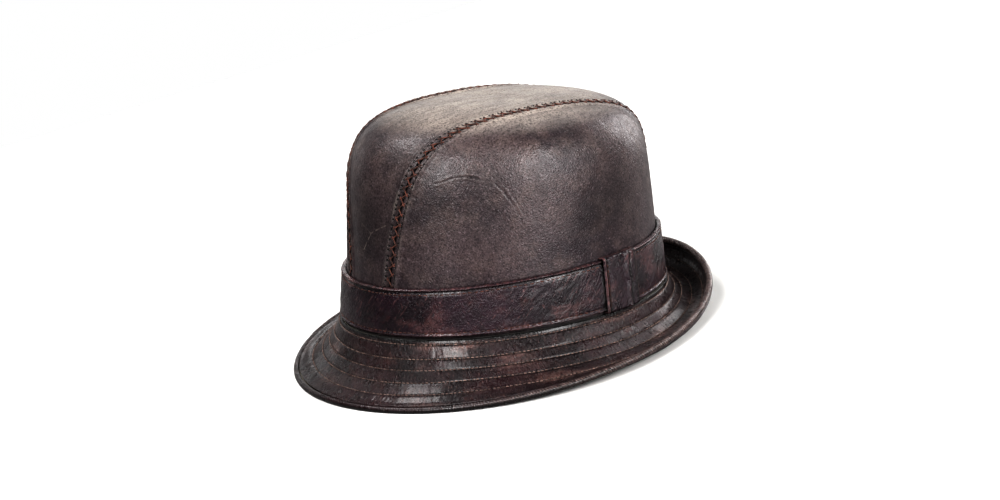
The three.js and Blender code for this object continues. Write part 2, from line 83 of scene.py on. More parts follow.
# Heights above the brim, offsets outside the wall, and angles of the joint and the keeper.
BAND_BOTTOM, BAND_TOP, BAND_FRONT_DROP, BAND_END_RISE = 1.5, 33.6, 2.0, 0.6
BAND_INNER, BAND_OUTER, BAND_TOP_ROW, BAND_LOW_ROW, BAND_JOINT = 0.8, 3.8, 3.7, 2.6, 100.0
KEEPER_START, KEEPER_END, KEEPER_FACE, KEEPER_THICK = 92.0, 108.5, 4.3, 1.4
KEEPER_LIP, KEEPER_CLEAR, KEEPER_CORNER, KEEPER_INNER_CORNER = 0.7, 0.4, 2.0, 1.4
SWEAT_BOTTOM, SWEAT_TOP, SWEAT_DEPTH, SWEAT_THICK, SWEAT_ROW = 0.4, 36.0, 4.9, 1.1, 4.0
TAB_BOTTOM, TAB_TOP, TAB_HALF_WIDTH, TAB_HALF_ANGLE = 7.0, 27.0, 7.5, 4.2
REED_RADIUS, REED_LEVEL, SWEAT_JOINT, JOINT_GAP = 0.9, -1.3, 180.0, 0.3

# ---- dimensions that only the looks have ----

# Half the slit of a seam in radians; the herringbone's pitch, half width, overlap as a share of
# the pitch and thread radius; the ridge of leather beside it, its distance, fold and groove.
SEAM_OPENING = 0.0035
SEAM_PITCH, SEAM_HALF_STITCH, SEAM_CROSSING, SEAM_THREAD = 6.6, 2.8, 0.2, 0.48
SEAM_RIDGE, SEAM_RIDGE_AT, SEAM_FOLD, SEAM_GROOVE = 1.15, 4.1, 1.1, 0.3
# Stitches and their thread's radius, the fine ribs of the bound edge, and how much the brim's
# margin puffs up and its underside takes of the quilting.
BAND_STITCH, BAND_STITCH_GAP, BAND_THREAD = 2.7, 0.9, 0.3
KEEPER_ROW_AT, KEEPER_PITCH, KEEPER_STITCH_SHARE = 2.7, 3.0, 0.75
SWEAT_PITCH, SWEAT_STITCH_SHARE = 3.4, 0.76
BRIM_PITCH, BRIM_STITCH_SHARE, BRIM_THREAD = 2.7, 0.74, 0.34
RIB_PITCH, RIB_HEIGHT, GROOVE_GAP = 1.9, 0.17, 0.1
MARGIN_PUFF, MARGIN_EDGE, UNDER_RELIEF = 1.05, 2.3, 0.6
# How deep the ends of a stitch sink and how thin they are.
STITCH_SINK, THREAD_TAPER = 0.55, 0.45

# ---- how fine the meshes are ----

CROWN_STEPS, CENTRE_COLUMNS, SIDE_COLUMNS, TAPE_STEPS, TAPE_COLUMNS = 420, 104, 150, 240, 9
DOME_DEGREES, DOME_ROWS_PER_DEGREE = 1.5, 1.2
BAND_STEPS, BAND_COLUMNS, BAND_BACK_COLUMNS, KEEPER_STEPS = 1100, 46, 8, 90
SWEAT_STEPS, SWEAT_COLUMNS, TAB_COLUMNS, TAB_ROWS = 500, 30, 28, 40
TOP_STEPS, TOP_COLUMNS, UNDER_STEPS, UNDER_COLUMNS = 1300, 100, 900, 80
STIFFENER_STEPS, STIFFENER_COLUMNS, EDGE_STEPS, EDGE_COLUMNS = 360, 30, 3000, 22
RING_STEPS, WIRE_SIDES, REED_SIDES = 480, 8, 12
THREAD_SIDES, STITCH_STEPS, SEAM_STITCH_STEPS = 7, 7, 11

opening = next(mount for mount in frame["record"]["mounts"] if mount["name"] == "head_opening")
HAT_ORIGIN = np.array(opening["pos_m"])
HAT_UP = -np.array(opening["axis"])
HAT_UP /= np.linalg.norm(HAT_UP)
HAT_ACROSS = np.array([1.0, 0.0, 0.0])
HAT_BACK = np.cross(HAT_UP, HAT_ACROSS)
HAT_AXES = np.stack([HAT_ACROSS, HAT_BACK, HAT_UP])


def to_row(points):
    """Millimetres in the hat's frame to metres in the row's frame."""
    return HAT_ORIGIN + (np.asarray(points) / 1000) @ HAT_AXES


# ---- numbers without a pattern, the same on each run ----

SCRAMBLERS = np.array([374761393, 668265263, 2147483647])
SEED_SCRAMBLER, LAST_SCRAMBLER, LOW_BITS = 974634777, 1274126177, 0xFFFFFF


def lattice(cells, seed):
    """A value from 0 to 1 for each whole-number cell, from scrambled bits."""
    mixed = (cells * SCRAMBLERS).sum(-1) + seed * SEED_SCRAMBLER
    mixed = (mixed ^ (mixed >> 13)) * LAST_SCRAMBLER
    return ((mixed ^ (mixed >> 16)) & LOW_BITS) / float(LOW_BITS)


def noise(points, seed=0, octaves=1):
    """Smooth noise from -1 to 1 whose features are about one unit across."""
    points = np.asarray(points, float)
    total, strength, reach = 0.0, 1.0, 0.0
    for octave in range(octaves):
        scaled = points * 2 ** octave
        cell = np.floor(scaled).astype(np.int64)
        part = scaled - cell
        part = part * part * (3 - 2 * part)
        value = 0.0
        for corner in np.ndindex(2, 2, 2):
            share = np.prod(np.where(np.array(corner) == 1, part, 1 - part), axis=-1)
            value = value + share * lattice(cell + np.array(corner), seed + 17 * octave)
        total = total + strength * (2 * value - 1)
        reach += strength
        strength *= 0.5
    return total / reach


def line_noise(position, seed=0, octaves=1):
    """Noise along a line or over a plane: position is an array, or two of them."""
    parts = np.broadcast_arrays(*(position if isinstance(position, tuple) else (position,)))
    columns = list(parts) + [np.zeros_like(parts[0])] * (3 - len(parts))
    return noise(np.stack(columns, axis=-1), seed, octaves)


def smooth(low, high, value):
    """0 below low, 1 above high and a smooth step between."""
    part = np.clip((value - low) / (high - low), 0, 1)
    return part * part * (3 - 2 * part)


def hump(distance, width):
    """1 at no distance, falling as a bell curve of a width."""
    return np.exp(-(distance / width) ** 2)


def rounded_edge(distance, radius):
    """0 at an edge and 1 from a radius inside it, as a quarter circle."""
    part = np.clip(1 - distance / radius, 0, 1)
    return np.sqrt(1 - part ** 2)


def unit(vectors):
    return vectors / np.maximum(np.linalg.norm(vectors, axis=-1, keepdims=True), 1e-12)


def paired(first, second):
    """Two grids side by side, such as offsets and heights or places along and across a cloth."""
    return np.stack(np.broadcast_arrays(first, second), -1)


def full_turn(sides):
    """Angles to the corners of a round section."""
    return np.linspace(0, 2 * np.pi, sides, endpoint=False)


def round_section(radius, turn):
    """Points of a round section at angles about its middle."""
    return paired(radius * np.cos(turn), radius * np.sin(turn))


def lengths(points, axis=0):
    """Distance along a chain of points, from its first one."""
    legs = np.linalg.norm(np.diff(points, axis=axis), axis=-1)
    start = np.zeros_like(np.take(legs, [0], axis=axis))
    return np.concatenate([start, np.cumsum(legs, axis=axis)], axis=axis)


# ---- the crown ----

def profile(angle):
    """Share of the width and of the height at angles up the crown's profile."""
    rise = np.sin(angle) ** HEIGHT_POWER
    fullness = 1 - TAPER * rise + FLARE * (1 - rise) ** 3
    return np.maximum(np.cos(angle), 0) ** WIDTH_POWER * fullness, rise


def climb_table():
    """Share of the climb against angle up the profile: half by length and half by turning."""
    angles = (np.pi / 2) * np.linspace(0, 1, 601) ** 4
    width, rise = profile(angles)
    legs = np.diff(np.stack([100 * width, HEIGHT * rise], -1), axis=0)
    length = np.linalg.norm(legs, axis=1)
    heading = np.unwrap(np.arctan2(legs[:, 1], legs[:, 0]))
    turns = np.abs(np.diff(heading, prepend=heading[0]))
    climbed = np.cumsum(0.5 * length / length.sum() + 0.5 * turns / turns.sum())
    return np.concatenate([[0], climbed]), angles


CLIMBED, CLIMB_ANGLES = climb_table()


def crown_surface(direction):
    """Outer face of the crown in a direction from its centre, and the share of the height there."""
    around = np.arctan2(direction[..., 0], -direction[..., 1])
    up = np.arcsin(np.clip(direction[..., 2], 0, 1)) / (np.pi / 2)
    width, rise = profile(np.interp(up, CLIMBED, CLIMB_ANGLES))
    y = -np.where(np.cos(around) > 0, FRONT, BACK) * width * np.cos(around)
    x = SIDE * width * np.sin(around)
    return np.stack([x, y + LEAN * rise, rise * (HEIGHT - FALL * y)], -1), rise


def crown_normal(direction):
    """Outward normal of the crown."""
    step = 0.002
    level = np.stack([-direction[..., 1], direction[..., 0], np.zeros_like(direction[..., 0])], -1)
    short = np.linalg.norm(level, axis=-1) < step
    level[short] = (1, 0, 0)
    level = unit(level)
    upward = np.cross(direction, level)
    upward = np.where(upward[..., 2:] < 0, -upward, upward)
    here = crown_surface(direction)[0]
    beside = crown_surface(unit(direction + step * level))[0] - here
    above = crown_surface(unit(direction + step * upward))[0] - here
    normal = unit(np.cross(beside, above))
    outward = (normal * (here - (0, 0, HEIGHT / 3))).sum(-1, keepdims=True)
    return np.where(outward < 0, -normal, normal)


def over_head(over, across):
    """Direction by an angle over the head from front to back and one from the middle to the left."""
    over, across = np.broadcast_arrays(over, across)
    up = np.maximum(np.sin(over) * np.cos(across), 0)
    return np.stack([np.sin(across), -np.cos(over) * np.cos(across), up], -1)


def round_head(around, up):
    """Direction by an angle round the head from the front and one up from the brim."""
    around, up = np.broadcast_arrays(around, up)
    return np.stack([np.sin(around) * np.cos(up), -np.cos(around) * np.cos(up), np.sin(up)], -1)


def seam_across(over):
    """Where the left seam lies at angles over the head."""
    base = SEAM_FRONT + (SEAM_BACK - SEAM_FRONT) * (1 - np.cos(over)) / 2
    low, high = np.zeros_like(over), np.full_like(over, np.pi / 2)
    halvings = 30
    for _ in range(halvings):
        middle = (low + high) / 2
        point, rise = crown_surface(over_head(over, middle))
        inside = point[..., 0] < base + (SEAM_TOP - base) * rise ** SEAM_SPREAD
        low, high = np.where(inside, middle, low), np.where(inside, high, middle)
    return (low + high) / 2


# ---- round the wall ----

def half_length(angle):
    """The crown's reach to the front or to the back, whichever the angle faces."""
    return np.where(np.cos(np.radians(angle)) > 0, FRONT, BACK)


def wall_normal(angle):
    """Outward normal of the crown's base outline."""
    turn = np.radians(angle)
    out = np.stack([half_length(angle) * np.sin(turn), -SIDE * np.cos(turn), np.zeros_like(turn)], -1)
    return unit(out)


def wall_point(angle, height, offset):
    """A point beside the wall at a height above the brim and an offset outside the leather."""
    angle, height, offset = np.broadcast_arrays(angle, height, offset)
    rise = np.maximum(height, 0) / HEIGHT
    width = profile(np.arcsin(rise ** (1 / HEIGHT_POWER)))[0]
    turn = np.radians(angle)
    x = SIDE * width * np.sin(turn)
    y = LEAN * rise - half_length(angle) * width * np.cos(turn)
    return np.stack([x, y, height], -1) + wall_normal(angle) * offset[..., None]


def band_top(angle):
    """Height of the hat band's upper edge."""
    turn = np.radians(angle)
    return BAND_TOP - BAND_FRONT_DROP * np.cos(turn) - BAND_END_RISE * np.cos(2 * turn)


# ---- the brim ----

def around_brim(values, angle):
    """A smooth value round the hat through five values, the same on the left and on the right."""
    last = len(values) - 1
    ends = np.ones(last + 1)
    ends[[0, last]] = 0.5
    total = 0.0
    for wave in range(last + 1):
        strength = (ends * values * np.cos(np.pi * wave * np.arange(last + 1) / last)).sum() * 2 / last
        total = total + ends[wave] * strength * np.cos(wave * np.radians(angle))
    return total


def brim_frame(angle, share):
    """Point on the top face at a share of the width, direction towards the edge and upward normal.
    The brim bends more and more on its way out, so it is followed in short legs."""
    angle, share = np.broadcast_arrays(np.asarray(angle, float), np.asarray(share, float))
    width = around_brim(BRIM_WIDTH, angle)
    root = np.radians(around_brim(ROOT_SLOPE, angle))
    edge = np.radians(around_brim(EDGE_SLOPE, angle))
    out, down = np.zeros_like(angle), np.zeros_like(angle)
    for leg in range(BRIM_LEGS):
        slope = root + (edge - root) * (share * (leg + 0.5) / BRIM_LEGS) ** BRIM_BEND
        out += np.cos(slope) * share * width / BRIM_LEGS
        down += np.sin(slope) * share * width / BRIM_LEGS
    slope = root + (edge - root) * share ** BRIM_BEND
    normal = wall_normal(angle)
    upright = np.zeros_like(normal)
    upright[..., 2] = 1
    point = wall_point(angle, 0.0, ROOT_OFFSET + out) - upright * down[..., None]
    outward = normal * np.cos(slope)[..., None] - upright * np.sin(slope)[..., None]
    upward = normal * np.sin(slope)[..., None] + upright * np.cos(slope)[..., None]
    return point, outward, upward


def off_front(angle):
    """Degrees between an angle round the hat and the front, to either side."""
    return np.abs((angle + 180) % 360 - 180)


# ---- meshes ----

def make_object(name, points, faces, look, uv=None, attributes=None):
    """An object with smooth faces from points in the hat's frame, in the material named look."""
    mesh = bpy.data.meshes.new(name)
    mesh.from_pydata(to_row(points).tolist(), [], faces)
    mesh.polygons.foreach_set("use_smooth", [True] * len(mesh.polygons))
    if uv is not None:
        layer = mesh.uv_layers.new(name="Millimetres")
        corners = np.empty(len(mesh.loops), dtype=np.int64)
        mesh.loops.foreach_get("vertex_index", corners)
        layer.data.foreach_set("uv", np.asarray(uv, np.float32)[corners].ravel())
    for key, values in (attributes or {}).items():
        layer = mesh.attributes.new(key, "FLOAT", "POINT")
        layer.data.foreach_set("value", np.asarray(values, np.float32).ravel())
    mesh.validate()
    obj = bpy.data.objects.new(name, mesh)
    bpy.context.scene.collection.objects.link(obj)
    mesh.materials.append(LOOKS[look])
    return obj


def faces_out(points, faces):
    """The faces, all turned if the body is inside out."""
    triangles = [face[:3] for face in faces] + [(face[0], *face[2:]) for face in faces if len(face) == 4]
    corner = np.asarray(points)[np.array(triangles)]
    volume = np.einsum("ij,ij->i", corner[:, 0], np.cross(corner[:, 1], corner[:, 2])).sum()
    return faces if volume > 0 else [face[::-1] for face in faces]


def grid_faces(rows, columns, start=0, wrap_rows=False, wrap_columns=False):
    """Quads over a grid of points numbered row by row."""
    i = np.arange(rows if wrap_rows else rows - 1)[:, None]
    j = np.arange(columns if wrap_columns else columns - 1)[None, :]
    following_row, following_column = (i + 1) % rows, (j + 1) % columns
    quads = np.stack(np.broadcast_arrays(
        i * columns + j, i * columns + following_column,
        following_row * columns + following_column, following_row * columns + j), -1)
    return (quads.reshape(-1, 4) + start).tolist()


def sheet(name, outer, inner, look, wrap=False, uv=None, attributes=None):
    """A thick sheet from matching grids of points on its two faces. uv holds the millimetres along and across
    its cloth, attributes its grids of wear, painted highlight and painted shade."""
    rows, columns = outer.shape[:2]
    count = rows * columns
    points = np.concatenate([outer.reshape(-1, 3), inner.reshape(-1, 3)])
    faces = grid_faces(rows, columns, 0, wrap)
    faces += [face[::-1] for face in grid_faces(rows, columns, count, wrap)]
    index = np.arange(count).reshape(rows, columns)
    rims = [(index[:, 0], False), (index[:, -1], True)]
    if not wrap:
        rims += [(index[0, :], True), (index[-1, :], False)]
    for rim, turned in rims:
        round_again = wrap and len(rim) == rows
        chain = np.append(rim, rim[0]) if round_again else rim
        for a, b in zip(chain[:-1], chain[1:]):
            face = [int(a), int(b), int(b + count), int(a + count)]
            faces.append(face[::-1] if turned else face)
    faces = faces_out(points, faces)
    if uv:
        uv = np.concatenate([paired(*uv).reshape(-1, 2)] * 2)
    attributes = {key: np.concatenate([np.ravel(v)] * 2) for key, v in (attributes or {}).items()}
    return tidy(make_object(name, points, faces, look, uv, attributes))


def loft(name, sections, look, wrap=False, uv=None, attributes=None):
    """A body through closed sections, with flat ends unless it wraps all the way round."""
    rows, columns = sections.shape[:2]
    points = sections.reshape(-1, 3)
    faces = grid_faces(rows, columns, 0, wrap, True)
    if not wrap:
        faces.append(list(range(columns)))
        faces.append([(rows - 1) * columns + column for column in reversed(range(columns))])
    faces = faces_out(points, faces)
    if uv:
        uv = paired(*uv).reshape(-1, 2)
    return tidy(make_object(name, points, faces, look, uv, attributes))


def tidy(obj):
    """Joins corners that coincide and drops what has no area, as at the poles of a sheet."""
    nearest = 1e-7
    body = bmesh.new()
    body.from_mesh(obj.data)
    bmesh.ops.remove_doubles(body, verts=body.verts, dist=nearest)
    bmesh.ops.dissolve_degenerate(body, edges=body.edges, dist=nearest)
    bmesh.ops.delete(body, geom=[edge for edge in body.edges if not edge.link_faces], context="EDGES")
    bmesh.ops.delete(body, geom=[vert for vert in body.verts if not vert.link_faces], context="VERTS")
    body.to_mesh(obj.data)
    body.free()
    return obj


def tubes(name, look, paths, ups, radius):
    """Separate lengths of thread. paths is count x points x 3, and ups has an upward direction for
    each of them."""
    paths = np.asarray(paths)
    count, steps = paths.shape[:2]
    ahead = unit(np.gradient(paths, axis=1))
    across = unit(np.cross(ahead, np.broadcast_to(ups[:, None, :], paths.shape)))
    up = np.cross(across, ahead)
    turn = full_turn(THREAD_SIDES)
    taper = np.ones(steps)
    taper[[0, -1]] = THREAD_TAPER
    ring = across[:, :, None] * np.cos(turn)[:, None] + up[:, :, None] * np.sin(turn)[:, None]
    points = paths[:, :, None] + radius * taper[None, :, None, None] * ring
    last = (steps - 1) * THREAD_SIDES
    one = grid_faces(steps, THREAD_SIDES, 0, False, True)
    one += [list(range(THREAD_SIDES))[::-1], [last + side for side in range(THREAD_SIDES)]]
    one = faces_out(points[0].reshape(-1, 3), one)
    starts = range(0, count * steps * THREAD_SIDES, steps * THREAD_SIDES)
    faces = [[start + corner for corner in face] for start in starts for face in one]
    return make_object(name, points.reshape(-1, 3), faces, look)


def joined(name, objects):
    """One object from several with the same material."""
    body = bmesh.new()
    for obj in objects:
        body.from_mesh(obj.data)
    mesh = bpy.data.meshes.new(name)
    body.to_mesh(mesh)
    body.free()
    mesh.materials.append(objects[0].data.materials[0])
    for obj in objects:
        bpy.data.objects.remove(obj)
    whole = bpy.data.objects.new(name, mesh)
    bpy.context.scene.collection.objects.link(whole)
    return whole


def press_flat(obj):
    """What touches the table is flat there."""
    places = np.empty(len(obj.data.vertices) * 3)
    obj.data.vertices.foreach_get("co", places)
    places[2::3] = np.maximum(places[2::3], 0)
    obj.data.vertices.foreach_set("co", places)
    return obj


def plain_name(look):
    """A material's name, without the number that Blender adds where the CAD has one of that name."""
    return look.name.split(".")[0]


def place(piece, node):
    """The finished piece rides on the hat and stands for its plain CAD node, which is hidden."""
    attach(piece, BODY)
    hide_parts(node)


# ---- shaders ----

def linear(part):
    """Linear light from a share of full sRGB light."""
    return part / 12.92 if part <= 0.04045 else ((part + 0.055) / 1.055) ** 2.4


def colour(code):
    """Linear colour from a hex code such as 4a423f."""
    return tuple(linear(int(code[at:at + 2], 16) / 255) for at in (0, 2, 4)) + (1.0,)


class Shader:
    """A material made of nodes. Sizes are in millimetres, and colours may be hex codes."""

    def __init__(self, name, **constants):
        self.material = bpy.data.materials.new(name)
        self.material.use_nodes = True
        self.tree = self.material.node_tree
        self.surface = self.tree.nodes["Principled BSDF"]
        for key, value in constants.items():
            self.surface.inputs[key.replace("_", " ")].default_value = value
        self.place = self.node("ShaderNodeTexCoord", "Object")
        self.place = self.node("ShaderNodeVectorMath", 0, {0: self.place, "Scale": 1000}, operation="SCALE")
        self.cloth = self.node("ShaderNodeUVMap", 0, uv_map="Millimetres")

    def node(self, kind, output=0, inputs=None, **settings):
        """One output of a new node of a kind."""
        made = self.tree.nodes.new(kind)
        for key, value in settings.items():
            setattr(made, key, value)
        for key, value in (inputs or {}).items():
            self.fill(made.inputs[key], value)
        return made.outputs[output]

    def fill(self, socket, value):
        """Links a socket to an output, or sets it to a constant or to a hex code's colour."""
        if isinstance(value, bpy.types.NodeSocket):
            self.tree.links.new(value, socket)
        else:
            socket.default_value = colour(value) if isinstance(value, str) else value

    def attribute(self, name):
        return self.node("ShaderNodeAttribute", "Fac", attribute_name=name)

    def stretch(self, vector, size, turn=0.0):
        """Coordinates that count in sizes along each axis, after a turn about the third one."""
        if turn:
            inputs = {"Vector": vector, "Angle": math.radians(turn)}
            vector = self.node("ShaderNodeVectorRotate", 0, inputs, rotation_type="Z_AXIS")
        factor = tuple(1 / part for part in size)
        return self.node("ShaderNodeVectorMath", 0, {0: vector, 1: factor}, operation="MULTIPLY")

    def noise(self, size, detail=2.0, roughness=0.5, vector=None, seed=0, distortion=0.0):
        """Noise whose features are about a size across, from 0 to 1."""
        inputs = {"Vector": vector or self.place, "Scale": 1 / size, "Detail": detail,
                  "Roughness": roughness, "Distortion": distortion, "W": 7.3 * seed}
        return self.node("ShaderNodeTexNoise", 0, inputs, noise_dimensions="4D")

    def cells(self, size):
        """Distance to the edges between pebbles of a size."""
        inputs = {"Vector": self.place, "Scale": 1 / size}
        return self.node("ShaderNodeTexVoronoi", "Distance", inputs, feature="DISTANCE_TO_EDGE")

    def span(self, value, low, high, start=0.0, end=1.0):
        """The value's way from low to high, as a smooth way from start to end."""
        inputs = {"Value": value, "From Min": low, "From Max": high, "To Min": start, "To Max": end}
        return self.node("ShaderNodeMapRange", 0, inputs, interpolation_type="SMOOTHSTEP")

    def math(self, operation, first, second=0.0):
        return self.node("ShaderNodeMath", 0, {0: first, 1: second}, operation=operation)

    def mix(self, share, first, second):
        return self.node("ShaderNodeMix", 2, {0: share, 6: first, 7: second}, data_type="RGBA")

    def tint(self, base, code, pattern, low, high, start=0.0, end=1.0):
        """The base with more or less of a colour as a pattern goes from low to high."""
        return self.mix(self.span(pattern, low, high, start, end), base, code)

    def line(self, start, end, width):
        """1 on the line between two points and 0 a width away from it."""
        start, end = Vector(1000 * to_row(start)), Vector(1000 * to_row(end))
        leg = end - start
        off = self.node("ShaderNodeVectorMath", 0, {0: self.place, 1: start}, operation="SUBTRACT")
        along = {0: off, 1: leg / leg.length_squared}
        share = self.node("ShaderNodeVectorMath", "Value", along, operation="DOT_PRODUCT")
        share = self.math("MAXIMUM", self.math("MINIMUM", share, 1.0), 0.0)
        reach = self.node("ShaderNodeVectorMath", 0, {0: leg, "Scale": share}, operation="SCALE")
        gap = self.node("ShaderNodeVectorMath", "Value", {0: off, 1: reach}, operation="DISTANCE")
        return self.span(gap, 0.0, width, 1.0, 0.0)

    def bumps(self, *layers):
        """Layers of pairs of height and depth, in millimetres, on top of each other."""
        normal = None
        for height, depth in layers:
            inputs = {"Height": height, "Distance": depth / 1000, "Strength": 1.0}
            if normal:
                inputs["Normal"] = normal
            normal = self.node("ShaderNodeBump", 0, inputs)
        self.fill(self.surface.inputs["Normal"], normal)

    def done(self, base, roughness):
        """The finished material."""
        self.fill(self.surface.inputs["Base Color"], base)
        self.fill(self.surface.inputs["Roughness"], roughness)
        return self.material


def needle_holes(s):
    """1 in the holes beside a seam. The cloth coordinates there are from the seam and along it."""
    apart = s.node("ShaderNodeSeparateXYZ", 0, {0: s.cloth}).node
    off = s.math("SUBTRACT", apart.outputs[0], SEAM_HALF_STITCH + 0.3)
    to_hole = s.math("PINGPONG", apart.outputs[1], SEAM_PITCH / 2)
    to_hole = s.math("SUBTRACT", to_hole, SEAM_CROSSING * SEAM_PITCH)
    square = s.math("ADD", s.math("MULTIPLY", off, off), s.math("MULTIPLY", to_hole, to_hole))
    return s.span(s.math("SQRT", square), 0.4, 0.9, 1.0, 0.0)


def crown_leather(scratches):
    """Dry, scuffed pull-up leather: dark brown clouded with grey, paler where it is worn and where highlights
    are painted, with painted shade in patches, creases, seams and needle holes.
    """
    s = Shader("crown_leather", Sheen_Weight=0.05, Sheen_Roughness=0.5, Specular_IOR_Level=0.5)
    base = s.tint("2f252a", "4c4042", s.noise(46, 3.0, 0.55, seed=1), 0.36, 0.66)
    base = s.tint(base, "615350", s.noise(13, 4.0, 0.6, seed=2), 0.42, 0.72, 0.0, 0.55)
    base = s.tint(base, "412f2e", s.noise(6, 4.0, 0.65, seed=3), 0.5, 0.8, 0.0, 0.5)
    streaks = s.noise(1.0, 4.0, 0.6, s.stretch(s.place, (3.4, 26, 6)), seed=4, distortion=1.2)
    # Pale where the leather is worn and where highlights are painted.
    wear_and_highlight_streaks = s.math("MULTIPLY", s.attribute("wear_and_highlight"), s.span(streaks, 0.25, 0.7, 0.5, 1.0))
    base = s.mix(wear_and_highlight_streaks, base, "bab0a6")
    speckle = s.noise(1.15, 2.0, 0.6, seed=5)
    base = s.tint(base, "1a1215", speckle, 0.5, 0.64, 0.0, 0.62)
    base = s.tint(base, "85767a", speckle, 0.28, 0.44, 0.4, 0.0)
    base = s.tint(base, "231a1c", s.cells(1.9), 0.0, 0.09, 0.3, 0.0)
    mark = 0.0
    for start, end in scratches:
        mark = s.math("MAXIMUM", mark, s.line(start, end, 0.75))
    broken = s.math("MULTIPLY", mark, s.span(s.noise(1.6, 2.0, seed=6), 0.35, 0.6))
    base = s.mix(s.math("MULTIPLY", broken, 0.6), base, "a0938a")
    # Painted shade: near black by the dark attribute, in patches, creases and the seams' slits.
    base = s.mix(s.math("MULTIPLY", s.attribute("dark"), 0.75), base, "170f12")
    # Painted shade: near black in the needle holes beside the seams.
    painted_shade = needle_holes(s)
    base = s.mix(painted_shade, base, "080505")
    roughness = s.span(s.noise(9, 3.0, 0.6, seed=7), 0.3, 0.7, 0.34, 0.46)
    roughness = s.math("ADD", roughness, s.math("MULTIPLY", wear_and_highlight_streaks, 0.16))
    pebbles = s.math("MULTIPLY", s.cells(1.6), s.span(s.noise(5, seed=8), 0.3, 0.7, 0.4, 1.0))
    ripples = s.noise(2.6, 3.0, 0.6, seed=9)
    s.bumps((pebbles, 0.3), (ripples, 0.26), (speckle, -0.12), (mark, -0.05), (painted_shade, -0.3))
    return s.done(base, roughness)


def waxed_leather(name, colours, turn, run, grain, gloss):
    """Glossy waxed leather whose fine creases are a run long and turned by some degrees."""
    dark, brown, red, pale = colours
    s = Shader(name, Specular_IOR_Level=0.5, Coat_Weight=0.3, Coat_Roughness=0.16)
    base = s.tint(dark, brown, s.noise(24, 4.0, 0.6, seed=1), 0.36, 0.66)
    base = s.tint(base, red, s.noise(11, 4.0, 0.65, seed=2), 0.55, 0.78, 0.0, 0.7)
    base = s.tint(base, "12171a", s.noise(15, 3.0, 0.6, seed=3), 0.62, 0.76, 0.0, 0.7)
    # Pale where worn, and on the bound edge's ribs also where highlights are painted.
    wear_and_highlight = s.math("MULTIPLY", s.attribute("wear_and_highlight"), s.span(s.noise(2.2, 4.0, 0.7, seed=4), 0.3, 0.62))
    base = s.mix(wear_and_highlight, base, pale)
    along = s.stretch(s.cloth, (1.15, 0.8 * run, 1), turn)
    scars = s.noise(1.0, 4.0, 0.65, along, seed=5, distortion=0.5)
    base = s.tint(base, pale, scars, 0.57, 0.7, 0.0, 0.5)
    crosswise = s.stretch(s.cloth, (1.0, 0.6 * run, 1), turn - 75)
    nicks = s.noise(1.0, 2.0, 0.6, crosswise, seed=10, distortion=0.3)
    base = s.tint(base, pale, nicks, 0.63, 0.7, 0.0, 0.4)
    base = s.tint(base, "120c0b", scars, 0.27, 0.42, 0.5, 0.0)
    fine = s.noise(1.1, 3.0, 0.65, seed=6)
    base = s.tint(base, "140e0e", fine, 0.35, 0.6, 0.4, 0.0)
    # Painted shade: near black where shade is painted, in needle holes, grooves, gaps and undersides.
    base = s.mix(s.attribute("painted_shade"), base, "060404")
    roughness = s.span(s.noise(8, 4.0, 0.6, seed=7), 0.3, 0.7, gloss, gloss + 0.16)
    roughness = s.math("ADD", roughness, s.span(scars, 0.3, 0.7, 0.0, 0.1))
    wrinkles = s.noise(1.0, 4.0, 0.6, s.stretch(s.cloth, (1.8, run, 1), turn), seed=8, distortion=1.2)
    hatch = s.noise(1.0, 3.0, 0.6, s.stretch(s.cloth, (1.5, 3.6, 1), turn), seed=9, distortion=0.8)
    s.bumps((wrinkles, 0.8 * grain), (scars, 0.45 * grain), (hatch, 0.9 * grain), (s.cells(1.9), 0.35),
            (fine, 0.2))
    return s.done(base, roughness)


def thread_material(name, light, dark):
    """Waxed twisted thread."""
    s = Shader(name, Sheen_Weight=0.2, Specular_IOR_Level=0.4)
    twist = s.noise(0.28, 1.0, seed=2)
    base = s.tint(dark, light, s.noise(2.4, 2.0, seed=1), 0.35, 0.68)
    base = s.tint(base, "120a08", twist, 0.35, 0.6, 0.5, 0.0)
    s.bumps((twist, 0.1))
    return s.done(base, s.span(twist, 0.3, 0.7, 0.5, 0.8))


def woven(name, warp, weft, pitch, depth, **constants):
    """Cloth with threads along and across, from its millimetre coordinates."""
    s = Shader(name, **constants)
    apart = s.node("ShaderNodeSeparateXYZ", 0, {0: s.cloth}).node
    waves = [s.math("SINE", s.math("MULTIPLY", apart.outputs[axis], 2 * math.pi / pitch)) for axis in (0, 1)]
    weave = s.math("MULTIPLY", *waves)
    uneven = s.noise(5, 3.0, 0.6, seed=1)
    base = s.tint(warp, weft, weave, -0.6, 0.6)
    base = s.tint(base, "0e0c0c", uneven, 0.35, 0.7, 0.0, 0.3)
    s.bumps((weave, depth), (s.noise(1.4, 3.0, seed=2), 0.12))
    return s.done(base, s.span(uneven, 0.3, 0.7, 0.5, 0.7))


def sweatband_leather():
    """Smooth tan lining leather with small pores."""
    s = Shader("sweatband_leather", Sheen_Weight=0.1, Specular_IOR_Level=0.5)
    pores = s.cells(0.7)
    base = s.tint("6b4630", "8a6244", s.noise(16, 4.0, 0.6, seed=1), 0.35, 0.7)
    base = s.tint(base, "4b3021", s.noise(5, 4.0, 0.6, seed=2), 0.5, 0.8, 0.0, 0.5)
    base = s.tint(base, "3a2418", pores, 0.0, 0.12, 0.35, 0.0)
    s.bumps((pores, 0.08), (s.noise(2.5, 3.0, seed=3), 0.12))
    return s.done(base, s.span(s.noise(4, 3.0, seed=4), 0.3, 0.7, 0.4, 0.58))


def felted(name, light, dark):
    """Stiff pressed fibre."""
    s = Shader(name, Sheen_Weight=0.15)
    fibres = s.noise(0.9, 4.0, 0.7, s.stretch(s.place, (0.4, 1.6, 0.8)), seed=1)
    s.bumps((fibres, 0.12))
    return s.done(s.tint(dark, light, fibres, 0.3, 0.7), s.span(fibres, 0.3, 0.7, 0.75, 0.95))


